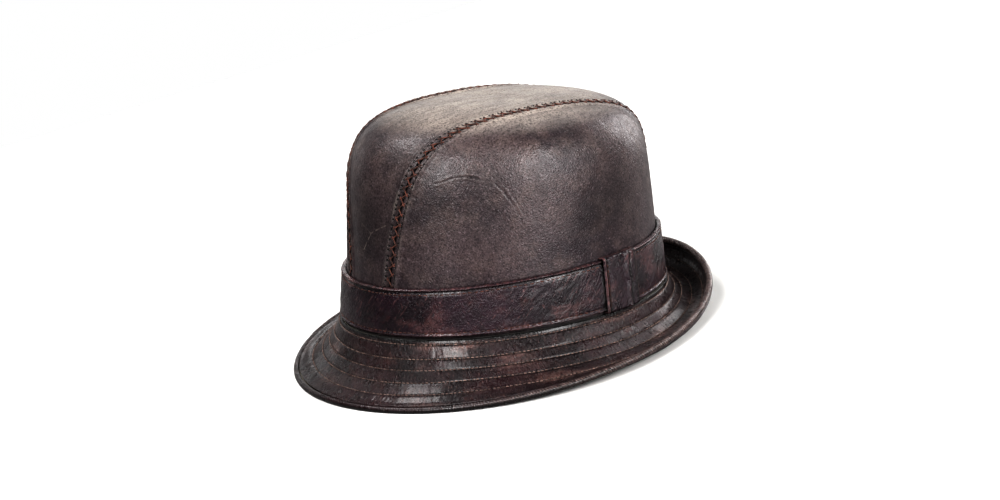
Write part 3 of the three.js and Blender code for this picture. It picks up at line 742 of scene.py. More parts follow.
def spring_wire():
    """Drawn steel with fine lines along it."""
    s = Shader("spring_wire", Metallic=1.0)
    drawn = s.noise(1.0, 3.0, vector=s.stretch(s.place, (0.2, 6, 0.2)), seed=1)
    s.bumps((drawn, 0.02))
    return s.done(s.tint("77726c", "a8a39c", drawn, 0.3, 0.7), s.span(drawn, 0.3, 0.7, 0.28, 0.45))


# ---- the crown's pieces ----

def seam_points(over):
    """Points of the left seam at angles over the head."""
    return crown_surface(over_head(over, seam_across(over)))[0]


SEAM_OVERS = np.linspace(0, np.pi, 721)
SEAM_LENGTHS = lengths(seam_points(SEAM_OVERS))
CROWN_ROWS = np.linspace(0, np.pi, CROWN_STEPS)


def seam_relief(to_seam, over, phase):
    """The edge of a panel turns under at the seam, and swells beside it between the stitches."""
    along = np.interp(over, SEAM_OVERS, SEAM_LENGTHS)
    fold = -SEAM_FOLD * (1 - rounded_edge(to_seam, 1.1)) - SEAM_GROOVE * hump(to_seam - 2.9, 0.7)
    pull = 0.5 + 0.5 * np.cos(2 * np.pi * along / SEAM_PITCH + phase)
    uneven = 0.8 + 0.4 * line_noise(along / 14, 31, 2)
    ridge = SEAM_RIDGE * hump(to_seam - SEAM_RIDGE_AT, 1.4) * uneven * (1 - 0.45 * pull)
    valley = -0.25 * hump(to_seam - 6.8, 1.8) * (0.5 + 0.5 * pull) - 0.2 * hump(to_seam - 11, 3.5)
    return fold + ridge + valley


def swell(surface):
    """Leather never lies quite true: broad dents and small ripples."""
    waves = [(0.55, 42, 3), (0.16, 11, 5), (0.05, 3.5, 9)]
    return sum(depth * noise(surface / size, seed, 2) for depth, size, seed in waves)


def near_line(points, corners):
    """Distance from points to a chain of corners, and how far along the chain, from 0 to 1."""
    best, along = np.full(points.shape[:-1], np.inf), np.zeros(points.shape[:-1])
    legs = len(corners) - 1
    for leg in range(legs):
        start, step = corners[leg], corners[leg + 1] - corners[leg]
        share = np.clip(((points - start) @ step) / (step @ step), 0, 1)
        gap = np.linalg.norm(points - start - share[..., None] * step, axis=-1)
        closer = gap < best
        best, along = np.where(closer, gap, best), np.where(closer, (leg + share) / legs, along)
    return best, along


# Each crease is a line of angles over the head and across it, a depth and a width.
LEFT_CREASES = [
    ([(30, 29), (31.8, 32), (36, 36), (38.4, 39), (39.2, 42), (40, 46)], 0.7, 0.6),
    ([(29, 30), (30.6, 33), (34.5, 37), (36.8, 40.5)], 0.4, 0.5),
    ([(43.5, 45.5), (42.6, 48), (41.2, 50.5)], 0.55, 0.5),
    ([(42.3, 45.6), (41.2, 48), (39.9, 50.6), (38.5, 54)], 0.45, 0.5),
    ([(44.6, 47), (43.6, 50), (42, 53)], 0.3, 0.45),
    ([(40.5, 51), (38.8, 54), (37, 57.5), (35.5, 60)], 0.35, 0.5),
    ([(41.5, 53.5), (39.6, 57), (38, 60.5)], 0.25, 0.45),
]
RIGHT_CREASES = [
    ([(120, 45), (115, 52), (104, 57)], 0.45, 0.7),
    ([(60, 50), (66, 58), (70, 68)], 0.3, 0.6),
]
SCRATCHES = [((16, -2.5), (15, 3.7)), ((15, 3.7), (15.8, 7.5)), ((15.8, 7.5), (16.8, 12)),
             ((15, 3.7), (12.5, -1))]
# Each patch of painted shade is a place over the head and across it, a radius and a strength.
PAINTED_SHADE_PATCHES = [((16, 2), 24, 0.8), ((127, 68), 26, 0.6), ((90, 38), 11, 0.35), ((24, 34), 10, 0.4),
                ((78, 74), 13, 0.4), ((52, 62), 9, 0.3), ((100, 20), 14, 0.3)]


def crease_relief(surface, creases):
    """Creases with raised lips, which wander a little and fade at both ends."""
    total = np.zeros(surface.shape[:-1])
    wander = noise(surface / 5, 41, 3)
    broken = 0.55 + 0.9 * noise(surface / 4, 43, 2)
    for corners, depth, width in creases:
        line = crown_surface(over_head(*np.radians(np.array(corners, float)).T))[0]
        gap, along = near_line(surface, line)
        fade = np.sin(np.pi * np.clip(along, 0.02, 0.98)) ** 0.5
        gap = np.abs(gap + (0.5 + width) * wander)
        lip = 0.4 * hump(gap - 2.4 * width, 1.8 * width)
        total = total + fade * depth * broken * (lip - hump(gap, width))
    return total


def crown_wear_and_highlight(surface, rise, to_seam):
    """Where the crown is worn pale and where highlights are painted: palest on the very top, a little paler
    higher up, and painted highlights on the seam ridges near shoulder height.
    """
    # The very top: wear and a painted highlight.
    top = smooth(0.9, 1.0, rise)
    patches = 0.5 + 0.5 * noise(surface / 30, 15, 3)
    ridge = hump(to_seam - SEAM_RIDGE_AT, 1.3) * smooth(-0.3, 0.5, noise(surface / 10, 19, 2))
    # Painted highlights on the seam ridges, strongest near shoulder height.
    ridge = ridge * (0.1 + 0.9 * hump(rise - 0.73, 0.11))
    return np.clip(top * (0.45 + 0.5 * patches) + 0.1 * patches * smooth(0.2, 0.8, rise) + ridge, 0, 1)


def painted_crown_shade(surface):
    """Painted shade where the crown lies dark in the light, in listed patches."""
    total = 0.0
    for over_and_across, radius, strength in PAINTED_SHADE_PATCHES:
        centre = crown_surface(over_head(*np.radians(over_and_across)))[0]
        gap = np.linalg.norm(surface - centre, axis=-1) / radius
        total = total + strength * np.exp(-gap ** 2 * (1 + 0.6 * noise(surface / 16, 21, 3)))
    return np.clip(total, 0, 1)


def mirrored(points, side):
    """Points as they are, or on the other side of the hat if side is negative."""
    return points * np.array([-1 if side < 0 else 1, 1, 1])


def crown_panel(name, across, creases=(), side=1):
    """A panel on the left, on the right (side -1) or over the middle (side 0). across holds its
    angles across the head for each row over the head."""
    over = np.broadcast_to(CROWN_ROWS[:, None], across.shape)
    direction = over_head(over, across)
    surface, rise = crown_surface(direction)
    normal = crown_normal(direction)
    to_seam = lengths(surface, axis=1)
    if side == 0:
        to_seam = np.minimum(to_seam, to_seam[:, -1:] - to_seam)
    crease = crease_relief(surface, creases)
    relief = seam_relief(to_seam, over, 0.0 if side else np.pi) + swell(surface) + crease
    outer = mirrored(surface + normal * relief[..., None], side)
    inner = mirrored(surface - normal * LEATHER, side)
    # The raised lips of the creases get a little wear and painted highlight.
    wear_and_highlight = np.clip(crown_wear_and_highlight(surface, rise, to_seam) + 0.15 * np.maximum(crease, 0), 0, 1)
    # Painted shade in the crease grooves and in the slit at each seam, added to the patches.
    dark = np.clip(painted_crown_shade(surface) - 2.2 * np.minimum(crease, 0) + hump(to_seam, 1.0), 0, 1)
    along = np.interp(over, SEAM_OVERS, SEAM_LENGTHS) - (0 if side else SEAM_PITCH / 2)
    marks = {"wear_and_highlight": wear_and_highlight, "dark": dark}
    return sheet(name, outer, inner, "crown_leather", uv=(to_seam, along), attributes=marks)


def crowded(count, strength):
    """Shares from 0 to 1, closer together at both ends."""
    even = np.linspace(0, 1, count)
    return even - strength * np.sin(2 * np.pi * even) / (2 * np.pi)


def crown_panels():
    """The centre panel, and the side panels that start beside it and end at the brim."""
    seam = seam_across(CROWN_ROWS)[:, None]
    centre = (seam - SEAM_OPENING) * (2 * crowded(CENTRE_COLUMNS, 0.72) - 1)
    place(crown_panel("centre_panel_leather", centre, side=0), "crown_centre_panel")
    even = np.linspace(0, 1, SIDE_COLUMNS)
    start = seam + SEAM_OPENING
    across = start + (np.pi / 2 - start) * (0.3 * even + 0.7 * even ** 2)
    for word, creases, side in (("left", LEFT_CREASES, 1), ("right", RIGHT_CREASES, -1)):
        place(crown_panel(f"{word}_panel_leather", across, creases, side), f"crown_{word}_panel")


def seam_overs(height, at_front):
    """Angle over the head where the seam reaches a height near the front or the back."""
    half = len(SEAM_OVERS) // 2
    overs = SEAM_OVERS[:half + 1] if at_front else SEAM_OVERS[half:][::-1]
    return np.interp(height, seam_points(overs)[:, 2], overs)


def beside_seam(over, offset):
    """Direction to a place that is an offset of a few millimetres beside the left seam."""
    middle, nudge = seam_across(over), 0.01
    step = crown_surface(over_head(over, middle + nudge))[0] - seam_points(over)
    return over_head(over, middle + offset * nudge / np.linalg.norm(step, axis=-1))


def seam_stitching(name, side):
    """Herringbone stitches: slanted threads that cross near both of their ends, over the seam
    from the hat band in front to the hat band behind."""
    first, last = (np.interp(seam_overs(band_top(angle) + 1.0, angle == 0), SEAM_OVERS, SEAM_LENGTHS)
                   for angle in (0, 180))
    numbers = np.arange(math.ceil(first / SEAM_PITCH), int(last / SEAM_PITCH))
    share = np.linspace(0, 1, SEAM_STITCH_STEPS)
    from_middle = np.abs(2 * share - 1)
    lift = 0.28 + 0.2 * hump(from_middle - 0.5, 0.3) - 1.1 * from_middle ** 11 + 0.35 * (0.5 - share)
    length = SEAM_PITCH * (0.5 + 2 * SEAM_CROSSING)
    paths, ups = [], []
    for way, begin in ((1, 0.0), (-1, 0.5)):
        starts = SEAM_PITCH * (numbers + begin - SEAM_CROSSING)
        along = starts[:, None] + length * share + 0.15 * line_noise(starts * 3 + way, 51)[:, None]
        width = 1 + 0.14 * line_noise(starts * 5 + way, 52)[:, None]
        over = np.interp(along, SEAM_LENGTHS, SEAM_OVERS)
        direction = beside_seam(over, way * SEAM_HALF_STITCH * (1 - 2 * share) * width)
        normal = crown_normal(direction)
        paths.append(crown_surface(direction)[0] + normal * lift[:, None])
        ups.append(normal[:, SEAM_STITCH_STEPS // 2])
    paths, ups = mirrored(np.concatenate(paths), side), mirrored(np.concatenate(ups), side)
    return tubes(name, "seam_thread", paths, ups, SEAM_THREAD)


def seam_tape(name, side):
    """A tape behind a seam."""
    over = np.linspace(seam_overs(TAPE_FOOT, True), seam_overs(TAPE_FOOT, False), TAPE_STEPS)[:, None]
    offset = np.linspace(-TAPE_HALF_WIDTH, TAPE_HALF_WIDTH, TAPE_COLUMNS)
    direction = beside_seam(over, offset)
    surface, normal = crown_surface(direction)[0], crown_normal(direction)
    outer = mirrored(surface - normal * TAPE_DEPTH, side)
    inner = mirrored(surface - normal * (TAPE_DEPTH + TAPE_THICK), side)
    along = lengths(seam_points(over[:, 0]))[:, None]
    return sheet(name, outer, inner, "cotton_tape", uv=(along, offset))


def dome(name, look, low, high, depth, thick, relief=None):
    """A layer inside the crown between two angles up from the brim."""
    millimetres_per_degree = 1.8
    around = np.arange(0, 360, DOME_DEGREES)[:, None]
    up = np.radians(np.linspace(low, high, int((high - low) * DOME_ROWS_PER_DEGREE)))
    direction = round_head(np.radians(around), up)
    surface, normal = crown_surface(direction)[0], crown_normal(direction)
    if high == 90:
        normal[:, -1] = unit(normal[:, -2].mean(0))
    height = lengths(surface, axis=1)
    along = around * millimetres_per_degree
    extra = relief(along, height) if relief else 0 * height
    outer = surface - normal * (depth - extra)[..., None]
    inner = surface - normal * (depth + thick - extra)[..., None]
    return sheet(name, outer, inner, look, wrap=True, uv=(along, height))


def gathers(along, height):
    """The soft lining is a little fuller than the crown, but lies flat at its sewn edges."""
    fullness = 0.3 * smooth(20, 90, height) * smooth(150, 110, height)
    return fullness * line_noise((along / 5, height / 40), 131, 2)


# ---- round the wall ----

def wall_lengths():
    """Angles round the hat band and the millimetres from the front to each."""
    angles = np.arange(0, 721, 0.5)
    return angles, lengths(wall_point(angles, 15.0, BAND_OUTER))


WALL_ANGLES, WALL_LENGTHS = wall_lengths()
WHOLE_RING = np.linspace(0, 360, RING_STEPS, endpoint=False)


def along_wall(angle):
    """Millimetres round the hat band from the front."""
    return np.interp(angle, WALL_ANGLES, WALL_LENGTHS)


def once_round(joint, steps):
    """Angles once round the head from a joint, whose two ends don't quite touch."""
    return np.linspace(joint + JOINT_GAP, joint + 360 - JOINT_GAP, steps)


def band_face(angle, height, width):
    """How far the band's face stands off the wall, at a height above its lower edge."""
    along = along_wall(angle)
    from_top = width - height
    rows = hump(height - BAND_LOW_ROW, 0.6) + hump(from_top - BAND_TOP_ROW, 0.6)
    fray = 1 + 0.5 * line_noise((along / 1.3, height / 0.9), 68, 2)
    rolls = (hump(height - 0.9, 0.75) + hump(from_top - 0.85, 0.7)) * fray
    groove = hump(from_top - 2.3, 0.75)
    slant, across = along * 0.77 + height * 0.64, height * 0.77 - along * 0.64
    folds = line_noise((slant / 17, across / 3.4), 61, 3)
    creases = -np.abs(line_noise((slant / 11, across / 2.2), 62, 2))
    creases = creases * smooth(-0.3, 0.5, line_noise(along / 30, 63))
    lines = -hump(line_noise((along / 34, height / 5 - along / 60), 65, 2), 0.09)
    bulge = line_noise((along / 26, height / 19), 64, 2)
    face = BAND_OUTER - 0.55 + 0.5 * np.sin(np.pi * height / width)
    face = face + 0.5 * rolls - 0.35 * rows - 0.8 * groove
    face = face + 0.4 * bulge + 0.26 * folds + 0.26 * creases + 0.2 * lines
    return BAND_INNER + (face - BAND_INNER) * rounded_edge(np.minimum(height, from_top), 1.3)


def hat_band():
    """The band, with rolled and frayed edges, from the joint under the keeper round to it again."""
    angle = once_round(BAND_JOINT, BAND_STEPS)[:, None]
    along = along_wall(angle)
    share = crowded(BAND_COLUMNS, 0.75)
    width = band_top(angle) - BAND_BOTTOM
    height = width * share
    wave = 0.18 * line_noise(along / 12, 66, 2) * np.abs(2 * share - 1) ** 3
    front = wall_point(angle, BAND_BOTTOM + height + wave, band_face(angle, height, width))
    back_height = width * np.linspace(0.97, 0.03, BAND_BACK_COLUMNS)
    back = wall_point(angle, BAND_BOTTOM + back_height, BAND_INNER)
    fray = 0.55 + 0.9 * line_noise((along / 1.3, height / 0.9), 68, 2)
    wear_and_highlight = (0.5 * hump(width - height - 0.6, 0.7) + 0.4 * hump(height - 0.6, 0.6)) * fray
    wear_and_highlight = wear_and_highlight + 0.35 * smooth(0.1, 0.6, line_noise((along / 20, height / 9), 67, 3))
    wear_and_highlight = np.concatenate([np.clip(wear_and_highlight, 0, 1), 0 * back_height], 1)
    up = np.concatenate([height, back_height], 1)
    to_keeper = along_wall(KEEPER_START + 360) - along
    # Painted shade beside the keeper's edge and in the groove under the top roll.
    shade = hump(to_keeper, 1.7) + 0.8 * hump(width - up - 2.3, 0.7)
    marks = {"wear_and_highlight": wear_and_highlight, "painted_shade": np.clip(shade, 0, 1)}
    sections = np.concatenate([front, back], 1)
    return loft("hat_band_leather", sections, "band_leather", uv=(along, up), attributes=marks)


def stitches(name, look, line, start, end, pitch, share, radius):
    """Short lengths of thread, each a share of the pitch, along line(position, lift), which gives
    points and upward normals."""
    count = int((end - start) / pitch)
    step = (end - start) / count
    begin = start + step * np.arange(count)
    begin = begin + 0.08 * step * line_noise(begin, 71)
    part = np.linspace(0, 1, STITCH_STEPS)
    position = begin[:, None] + step * share * part
    lift = radius * 0.9 - STITCH_SINK * np.abs(2 * part - 1) ** 3
    points, up = line(position, np.broadcast_to(lift, position.shape))
    return tubes(name, look, points, up[:, STITCH_STEPS // 2], radius)


def band_row(name, at_top):
    """A row of the band's stitches, near its top edge or near its foot."""
    def line(position, lift):
        angle = np.interp(position, WALL_LENGTHS, WALL_ANGLES)
        width = band_top(angle) - BAND_BOTTOM
        height = width - BAND_TOP_ROW if at_top else np.full_like(width, BAND_LOW_ROW)
        off = band_face(angle, height, width) + lift
        height = height + 0.15 * line_noise(position / 5, 73)
        return wall_point(angle, BAND_BOTTOM + height, off), wall_normal(angle)
    start, end = along_wall(KEEPER_END + 1), along_wall(KEEPER_START + 359)
    pitch = BAND_STITCH + BAND_STITCH_GAP
    return stitches(name, "seam_thread", line, start, end, pitch, BAND_STITCH / pitch, BAND_THREAD)


def keeper_grid(angle, inset, corner):
    """Offsets and heights of one face of the keeper: out under the band's foot, up its face and
    back in over its top edge, with rounded corners."""
    top = band_top(angle) + KEEPER_CLEAR + KEEPER_LIP - inset
    bottom = BAND_BOTTOM - KEEPER_CLEAR - KEEPER_LIP + inset
    run = KEEPER_FACE + KEEPER_THICK - BAND_INNER - inset
    straight = (top - bottom)[:, None] - 2 * corner
    arc = corner * np.pi / 2
    at = (2 * (run - corner) + straight + 2 * arc) * np.linspace(0, 1, KEEPER_STEPS)
    first, second = run - corner, run - corner + arc
    third = second + straight
    turn = np.clip((at - first) / arc, 0, 1) * np.pi / 2
    back_turn = np.clip((at - third) / arc, 0, 1) * np.pi / 2
    out = np.minimum(at, first) + corner * np.sin(turn) - corner * (1 - np.cos(back_turn))
    out = out - np.maximum(at - third - arc, 0)
    up = corner * (1 - np.cos(turn) + np.sin(back_turn)) + np.clip(at - second, 0, straight)
    return BAND_INNER + out, bottom + up


def band_keeper():
    """The loop over the band's joint, with a rolled front edge and a soft fold near its back edge."""
    angle = np.linspace(KEEPER_START, KEEPER_END, KEEPER_STEPS)
    outer_off, height = keeper_grid(angle, 0.0, KEEPER_CORNER)
    inner_off, inner_height = keeper_grid(angle, KEEPER_LIP, KEEPER_INNER_CORNER)
    along = (along_wall(angle) - along_wall(KEEPER_START))[:, None]
    to_end = along[-1] - along
    facing = smooth(BAND_OUTER - 1.5, BAND_OUTER + 0.8, outer_off)
    roll = 0.6 * hump(along - 0.9, 0.8) - 0.6 * hump(along - 2.5, 0.8) + 0.4 * hump(along - 6.0, 2.4)
    ripple = 1.2 * line_noise((height / 8, along / 30), 83, 2)
    fold = 1.2 * hump(to_end - 10.0 + ripple, 1.8) - 0.9 * hump(to_end - 6.8 + ripple, 1.2)
    wrinkles = 0.45 * line_noise((along / 6, height / 9), 81, 3)
    relief = (roll + fold + wrinkles) * (0.35 + 0.65 * facing)
    relief = relief - 1.0 * (1 - rounded_edge(np.minimum(along, to_end), 1.0))
    outer = wall_point(angle[:, None], height, outer_off + relief)
    inner = wall_point(angle[:, None], inner_height, inner_off)
    fray = 0.55 + 0.9 * line_noise((along / 0.9, height / 1.3), 84, 2)
    wear_and_highlight = (0.75 * hump(along - 0.8, 0.7) + 0.5 * hump(to_end - 0.8, 0.7) + 0.6 * (1 - facing)) * fray
    wear_and_highlight = np.clip(wear_and_highlight + 0.3 * smooth(0.0, 0.6, line_noise((along / 5, height / 8), 82, 3)), 0, 1)
    # Painted shade in the groove behind the rolled front edge, by the back edge and in the fold.
    shade = hump(along - 2.5, 0.7) + hump(to_end - 1.9, 0.6) + 0.75 * hump(to_end - 6.8 + ripple, 0.9)
    shade = np.clip(shade, 0, 1) * facing
    marks = {"wear_and_highlight": wear_and_highlight, "painted_shade": shade}
    return sheet("band_keeper_leather", outer, inner, "band_leather", uv=(along, height), attributes=marks)


def keeper_row():
    """A line of stitches up the keeper's front edge."""
    angle = np.interp(along_wall(KEEPER_START) + KEEPER_ROW_AT, WALL_LENGTHS, WALL_ANGLES)
    sunk_face = KEEPER_FACE + KEEPER_THICK - 0.45

    def line(position, lift):
        here = np.full(position.shape, angle)
        return wall_point(here, position, sunk_face + lift), wall_normal(here)
    start, end = BAND_BOTTOM + 2.5, band_top(angle) - 2
    return stitches("keeper_thread", "seam_thread", line, start, end, KEEPER_PITCH, KEEPER_STITCH_SHARE,
                    BAND_THREAD)


def wall_loft(name, look, sections, angle=WHOLE_RING, wrap=True):
    """A body round the wall. sections lists pairs of offset and height, for each angle or for all."""
    points = wall_point(angle[:, None], sections[..., 1], sections[..., 0])
    uv = (along_wall(angle)[:, None], lengths(points, axis=1))
    return loft(name, points, look, wrap=wrap, uv=uv)


def sweatband():
    """The strip of leather inside, wavy towards its free upper edge."""
    angle = once_round(SWEAT_JOINT, SWEAT_STEPS)
    up = np.linspace(0, 1, SWEAT_COLUMNS)
    height = SWEAT_BOTTOM + (SWEAT_TOP - SWEAT_BOTTOM) * up
    along = along_wall(angle)[:, None]
    wave = 0.35 * line_noise((along / 22, height / 15), 91, 2) + 0.5 * up ** 3 * line_noise(along / 30, 92, 2)
    to_edge = np.minimum(height - SWEAT_BOTTOM, SWEAT_TOP - height)
    outer = wave - SWEAT_DEPTH
    inner = outer - SWEAT_THICK * rounded_edge(to_edge, 0.5) + 0.3 * hump(height - SWEAT_ROW, 0.8)
    sections = np.concatenate([paired(inner, height), paired(outer, height)[:, ::-1]], 1)
    return wall_loft("sweatband_strip", "sweatband_leather", sections, angle, wrap=False)


def sweat_row():
    """The stitches that sew the sweatband in."""
    def line(position, lift):
        angle = np.interp(position, WALL_LENGTHS, WALL_ANGLES)
        return wall_point(angle, SWEAT_ROW, -SWEAT_DEPTH - SWEAT_THICK + 0.3 - lift), -wall_normal(angle)
    return stitches("sweatband_thread", "seam_thread", line, 0, along_wall(360), SWEAT_PITCH,
                    SWEAT_STITCH_SHARE, BAND_THREAD)


def sweatband_tab():
    """A leather tab over the sweatband's joint at the back, with rounded corners."""
    across = np.linspace(-1, 1, TAB_COLUMNS)[:, None]
    up = np.linspace(-1, 1, TAB_ROWS)
    narrowing, corner_share = 0.22, 0.2
    in_corner = np.clip((np.abs(up) - 1 + corner_share) / corner_share, 0, 1)
    wide = across * (1 - narrowing + narrowing * np.sqrt(1 - in_corner ** 2))
    half_height = (TAB_TOP - TAB_BOTTOM) / 2
    angle = SWEAT_JOINT + wide * TAB_HALF_ANGLE
    height = np.broadcast_to(TAB_BOTTOM + half_height * (1 + up), angle.shape)
    round_side = rounded_edge((1 - np.abs(across)) * TAB_HALF_WIDTH, 0.7)
    round_end = rounded_edge((1 - np.abs(up)) * half_height, 0.7)
    face = -SWEAT_DEPTH - SWEAT_THICK - 0.4
    outer = wall_point(angle, height, face - 0.9 * round_side * round_end)
    inner = wall_point(angle, height, face)
    uv = (wide * TAB_HALF_WIDTH, height)
    return sheet("sweatband_tab_leather", outer, inner, "sweatband_leather", uv=uv)


# ---- the brim's pieces ----

ALL_ROWS = [JOIN_ROW] + BRIM_ROWS
RING_ANGLES = np.linspace(0, 360, 1441)


def ring_lengths(distance):
    """Millimetres round the brim from the front to each of the ring angles, at a distance out."""
    return lengths(brim_frame(RING_ANGLES, distance / NOMINAL_WIDTH)[0])


RINGS = {distance: ring_lengths(distance) for distance in ALL_ROWS}


def around_row(angle, row):
    """Millimetres round the brim along one of its rows of stitches."""
    return np.interp(angle, RING_ANGLES, RINGS[row])


def row_pitch(row):
    """Length of a stitch and its gap such that a whole number of them goes round."""
    return RINGS[row][-1] / round(RINGS[row][-1] / BRIM_PITCH)


def puff_share(angle):
    """The quilting is shallow in front, a little to the wearer's left, and deep elsewhere."""
    return 0.16 + 0.5 * smooth(30, 90, off_front(angle - 25))


def brim_relief(angle, distance):
    """Millimetres that the brim's leather stands proud between and beside its stitch rows."""
    around = around_row(angle, BRIM_ROWS[1])
    quilting = puff_share(angle)
    total = 0.0
    edges = ALL_ROWS + [NOMINAL_WIDTH - MARGIN_EDGE]
    for low, high in zip(edges[:-1], edges[1:]):
        share = np.clip((distance - low) / (high - low), 0, 1)
        height = min(0.07 * (high - low), 0.55) * (1 + 0.5 * line_noise((around / 13, low), 106, 2))
        height = height * quilting
        if low == BRIM_ROWS[-1]:
            share = share ** 0.6
            height = height + MARGIN_PUFF * smooth(80, 30, off_front(angle))
        total = total + height * np.sin(np.pi * share) ** 0.8
    for row in ALL_ROWS:
        pull = 0.5 - 0.5 * np.cos(2 * np.pi * around_row(angle, row) / row_pitch(row))
        uneven = 0.6 + 0.6 * line_noise((around / 16, row), 101, 2)
        total = total - (0.2 + 0.16 * pull) * hump(distance - row, 0.6)
        total = total + 0.13 * uneven * (0.5 - pull) * hump(np.abs(distance - row) - 1.7, 1.5) * quilting
    wander = around + 2.5 * line_noise((around / 24, distance / 10), 105)
    pleats = line_noise((wander / 2.6, distance / 8), 102, 3)
    margin = 0.4 + 0.6 * smooth(34, 40, distance)
    patchy = 0.35 + 0.65 * smooth(-0.35, 0.45, line_noise((around / 33, distance / 26), 103, 2))
    crinkles = line_noise((wander / 1.3, distance / 5), 108, 2)
    total = total + (0.26 * pleats + 0.1 * crinkles) * margin * patchy + 0.4 * smooth(42, 46, distance)
    return total + 0.45 * line_noise((around / 26, distance / 14), 104, 2) * smooth(0, 6, distance)


def brim_painted_shade(angle, distance):
    """Painted shade: 1 in the needle holes between the stitches of the rows, less along the rows' grooves,
    and full next to the crown under the band's foot.
    """
    total = 0.0
    for row in ALL_ROWS:
        pitch = row_pitch(row)
        along = around_row(angle, row) + 0.13 * pitch
        gap = np.abs((along + pitch / 2) % pitch - pitch / 2)
        total = total + hump(distance - row, 0.6) * hump(gap, 0.6) + 0.4 * hump(distance - row, 1.1)
    return np.clip(total + smooth(2.0, 1.0, distance), 0, 1)


def brim_rub(angle, distance):
    """Paler rubbed leather along the puffed ridges and on some patches."""
    ridges = sum(hump(np.abs(distance - row) - 1.6, 1.0) for row in ALL_ROWS)
    patches = smooth(0.0, 0.55, line_noise((around_row(angle, BRIM_ROWS[1]) / 28, distance / 9), 107, 3))
    return np.clip(0.25 * ridges * patches + 0.4 * patches * patches, 0, 1)


def brim_shares(count):
    """Shares of the brim's width, closer together at its rows of stitches."""
    even = np.linspace(0, NOMINAL_WIDTH, 2000)
    weight = 1.0 + sum(2.2 * hump(even - row, 1.3) for row in ALL_ROWS)
    total = np.concatenate([[0], np.cumsum((weight[1:] + weight[:-1]) / 2)])
    return np.interp(np.linspace(0, total[-1], count), total, even) / NOMINAL_WIDTH


def brim_sheet(name, look, depth, thick, steps, shares, short, top=0.0, under=0.0):
    """A layer of the brim that ends a little short of the edge. top and under say how much of the
    relief its faces take."""
    angle = np.linspace(0, 360, steps, endpoint=False)[:, None]
    share = shares * (1 - short / around_brim(BRIM_WIDTH, angle))
    point, _, upward = brim_frame(angle, share)
    distance = share * NOMINAL_WIDTH
    relief = brim_relief(angle, distance)
    outer = point + upward * (top * relief - depth)[..., None]
    inner = point - upward * (depth + thick + under * relief)[..., None]
    uv = (around_row(angle, BRIM_ROWS[2]), distance)
    marks = {"wear_and_highlight": brim_rub(angle, distance), "painted_shade": brim_painted_shade(angle, distance)}
    return sheet(name, outer, inner, look, wrap=True, uv=uv, attributes=marks)


def brim_row_line(row, depth, sign, relief_share):
    """The line of a row on the top face or, with sign -1, on the underside."""
    def line(position, lift):
        angle = np.interp(position, RINGS[row], RING_ANGLES)
        share = np.full(angle.shape, row / NOMINAL_WIDTH)
        point, _, upward = brim_frame(angle, share)
        relief = brim_relief(angle, share * NOMINAL_WIDTH) * relief_share
        return point + upward * ((relief + lift + 0.2) * sign - depth)[..., None], sign * upward
    return line


def brim_stitches(name, row):
    """Needle thread on top and bobbin thread underneath, as one object."""
    needle_line = brim_row_line(row, 0.0, 1, 1.0)
    bobbin_line = brim_row_line(row, UNDER_DEPTH + BRIM_LEATHER, -1, UNDER_RELIEF)
    threads = [stitches(f"{name}_part", "brim_thread", line, 0, RINGS[row][-1], row_pitch(row),
                        BRIM_STITCH_SHARE, BRIM_THREAD) for line in (needle_line, bobbin_line)]
    return press_flat(joined(name, threads))


def brim_section(angle, depth, pairs):
    """Sections round the brim's edge at a depth; pairs are outward and upward offsets."""
    point, outward, upward = brim_frame(angle, 1.0)
    centre = (point - upward * depth)[:, None]
    return centre + outward[:, None] * pairs[..., :1] + upward[:, None] * pairs[..., 1:]


def edge_binding():
    """Leather rolled round the edge over the wire, gathered into fine ribs."""
    angle = np.linspace(0, 360, EDGE_STEPS, endpoint=False)
    around = np.interp(angle, RING_ANGLES, ring_lengths(NOMINAL_WIDTH))[:, None]
    open_at = 180 - BEAD_MOUTH
    turn = np.radians(np.linspace(-open_at, open_at, EDGE_COLUMNS))
    gathered = 0.35 + 0.65 * smooth(30, 85, off_front(angle))[:, None]
    slanted = around + 0.9 * turn
    ribs = np.cos(2 * np.pi * slanted / RIB_PITCH) * (0.7 + 0.4 * line_noise((slanted / 9, turn), 121, 2))
    radius = BEAD_RADIUS + RIB_HEIGHT * ribs * gathered + 0.14 * line_noise((slanted / 6, turn), 122, 3)
    back, small = turn[::-1], BEAD_RADIUS - BEAD_LEATHER
    outer = round_section(radius, turn)
    inner = np.broadcast_to(round_section(small, back), outer.shape)
    points = brim_section(angle, BEAD_DEPTH, np.concatenate([outer, inner], 1))
    # Paler ribs, most towards the back: wear and a painted highlight.
    wear_and_highlight = (0.5 + 0.45 * np.concatenate([ribs, 0 * ribs - 1], 1)) * np.clip(1.6 * gathered - 0.6, 0, 1)
    # Painted shade on the lower half of the bead towards the front and in the grooves between ribs.
    low = smooth(0.5, 0.1, np.sin(turn)) * (1 - smooth(60, 110, off_front(angle)))[:, None]
    shade = np.maximum(0.85 * low, 0.8 * smooth(0.1, 0.6, -ribs) * smooth(0.5, 1.0, gathered))
    shade = np.concatenate([shade, 0 * low], 1)
    uv = (around, BEAD_RADIUS * np.concatenate([turn, back]))
    marks = {"wear_and_highlight": np.clip(wear_and_highlight, 0, 1), "painted_shade": shade}
    return press_flat(loft("edge_binding_leather", points, "edge_leather", True, uv, marks))


# ---- the hat ----

def on_crown(over, across):
    """A point on the crown's leather, from degrees over the head and across it."""
    direction = over_head(*np.radians([[over], [across]]))
    surface = crown_surface(direction)[0]
    return (surface + crown_normal(direction) * swell(surface)[..., None])[0]


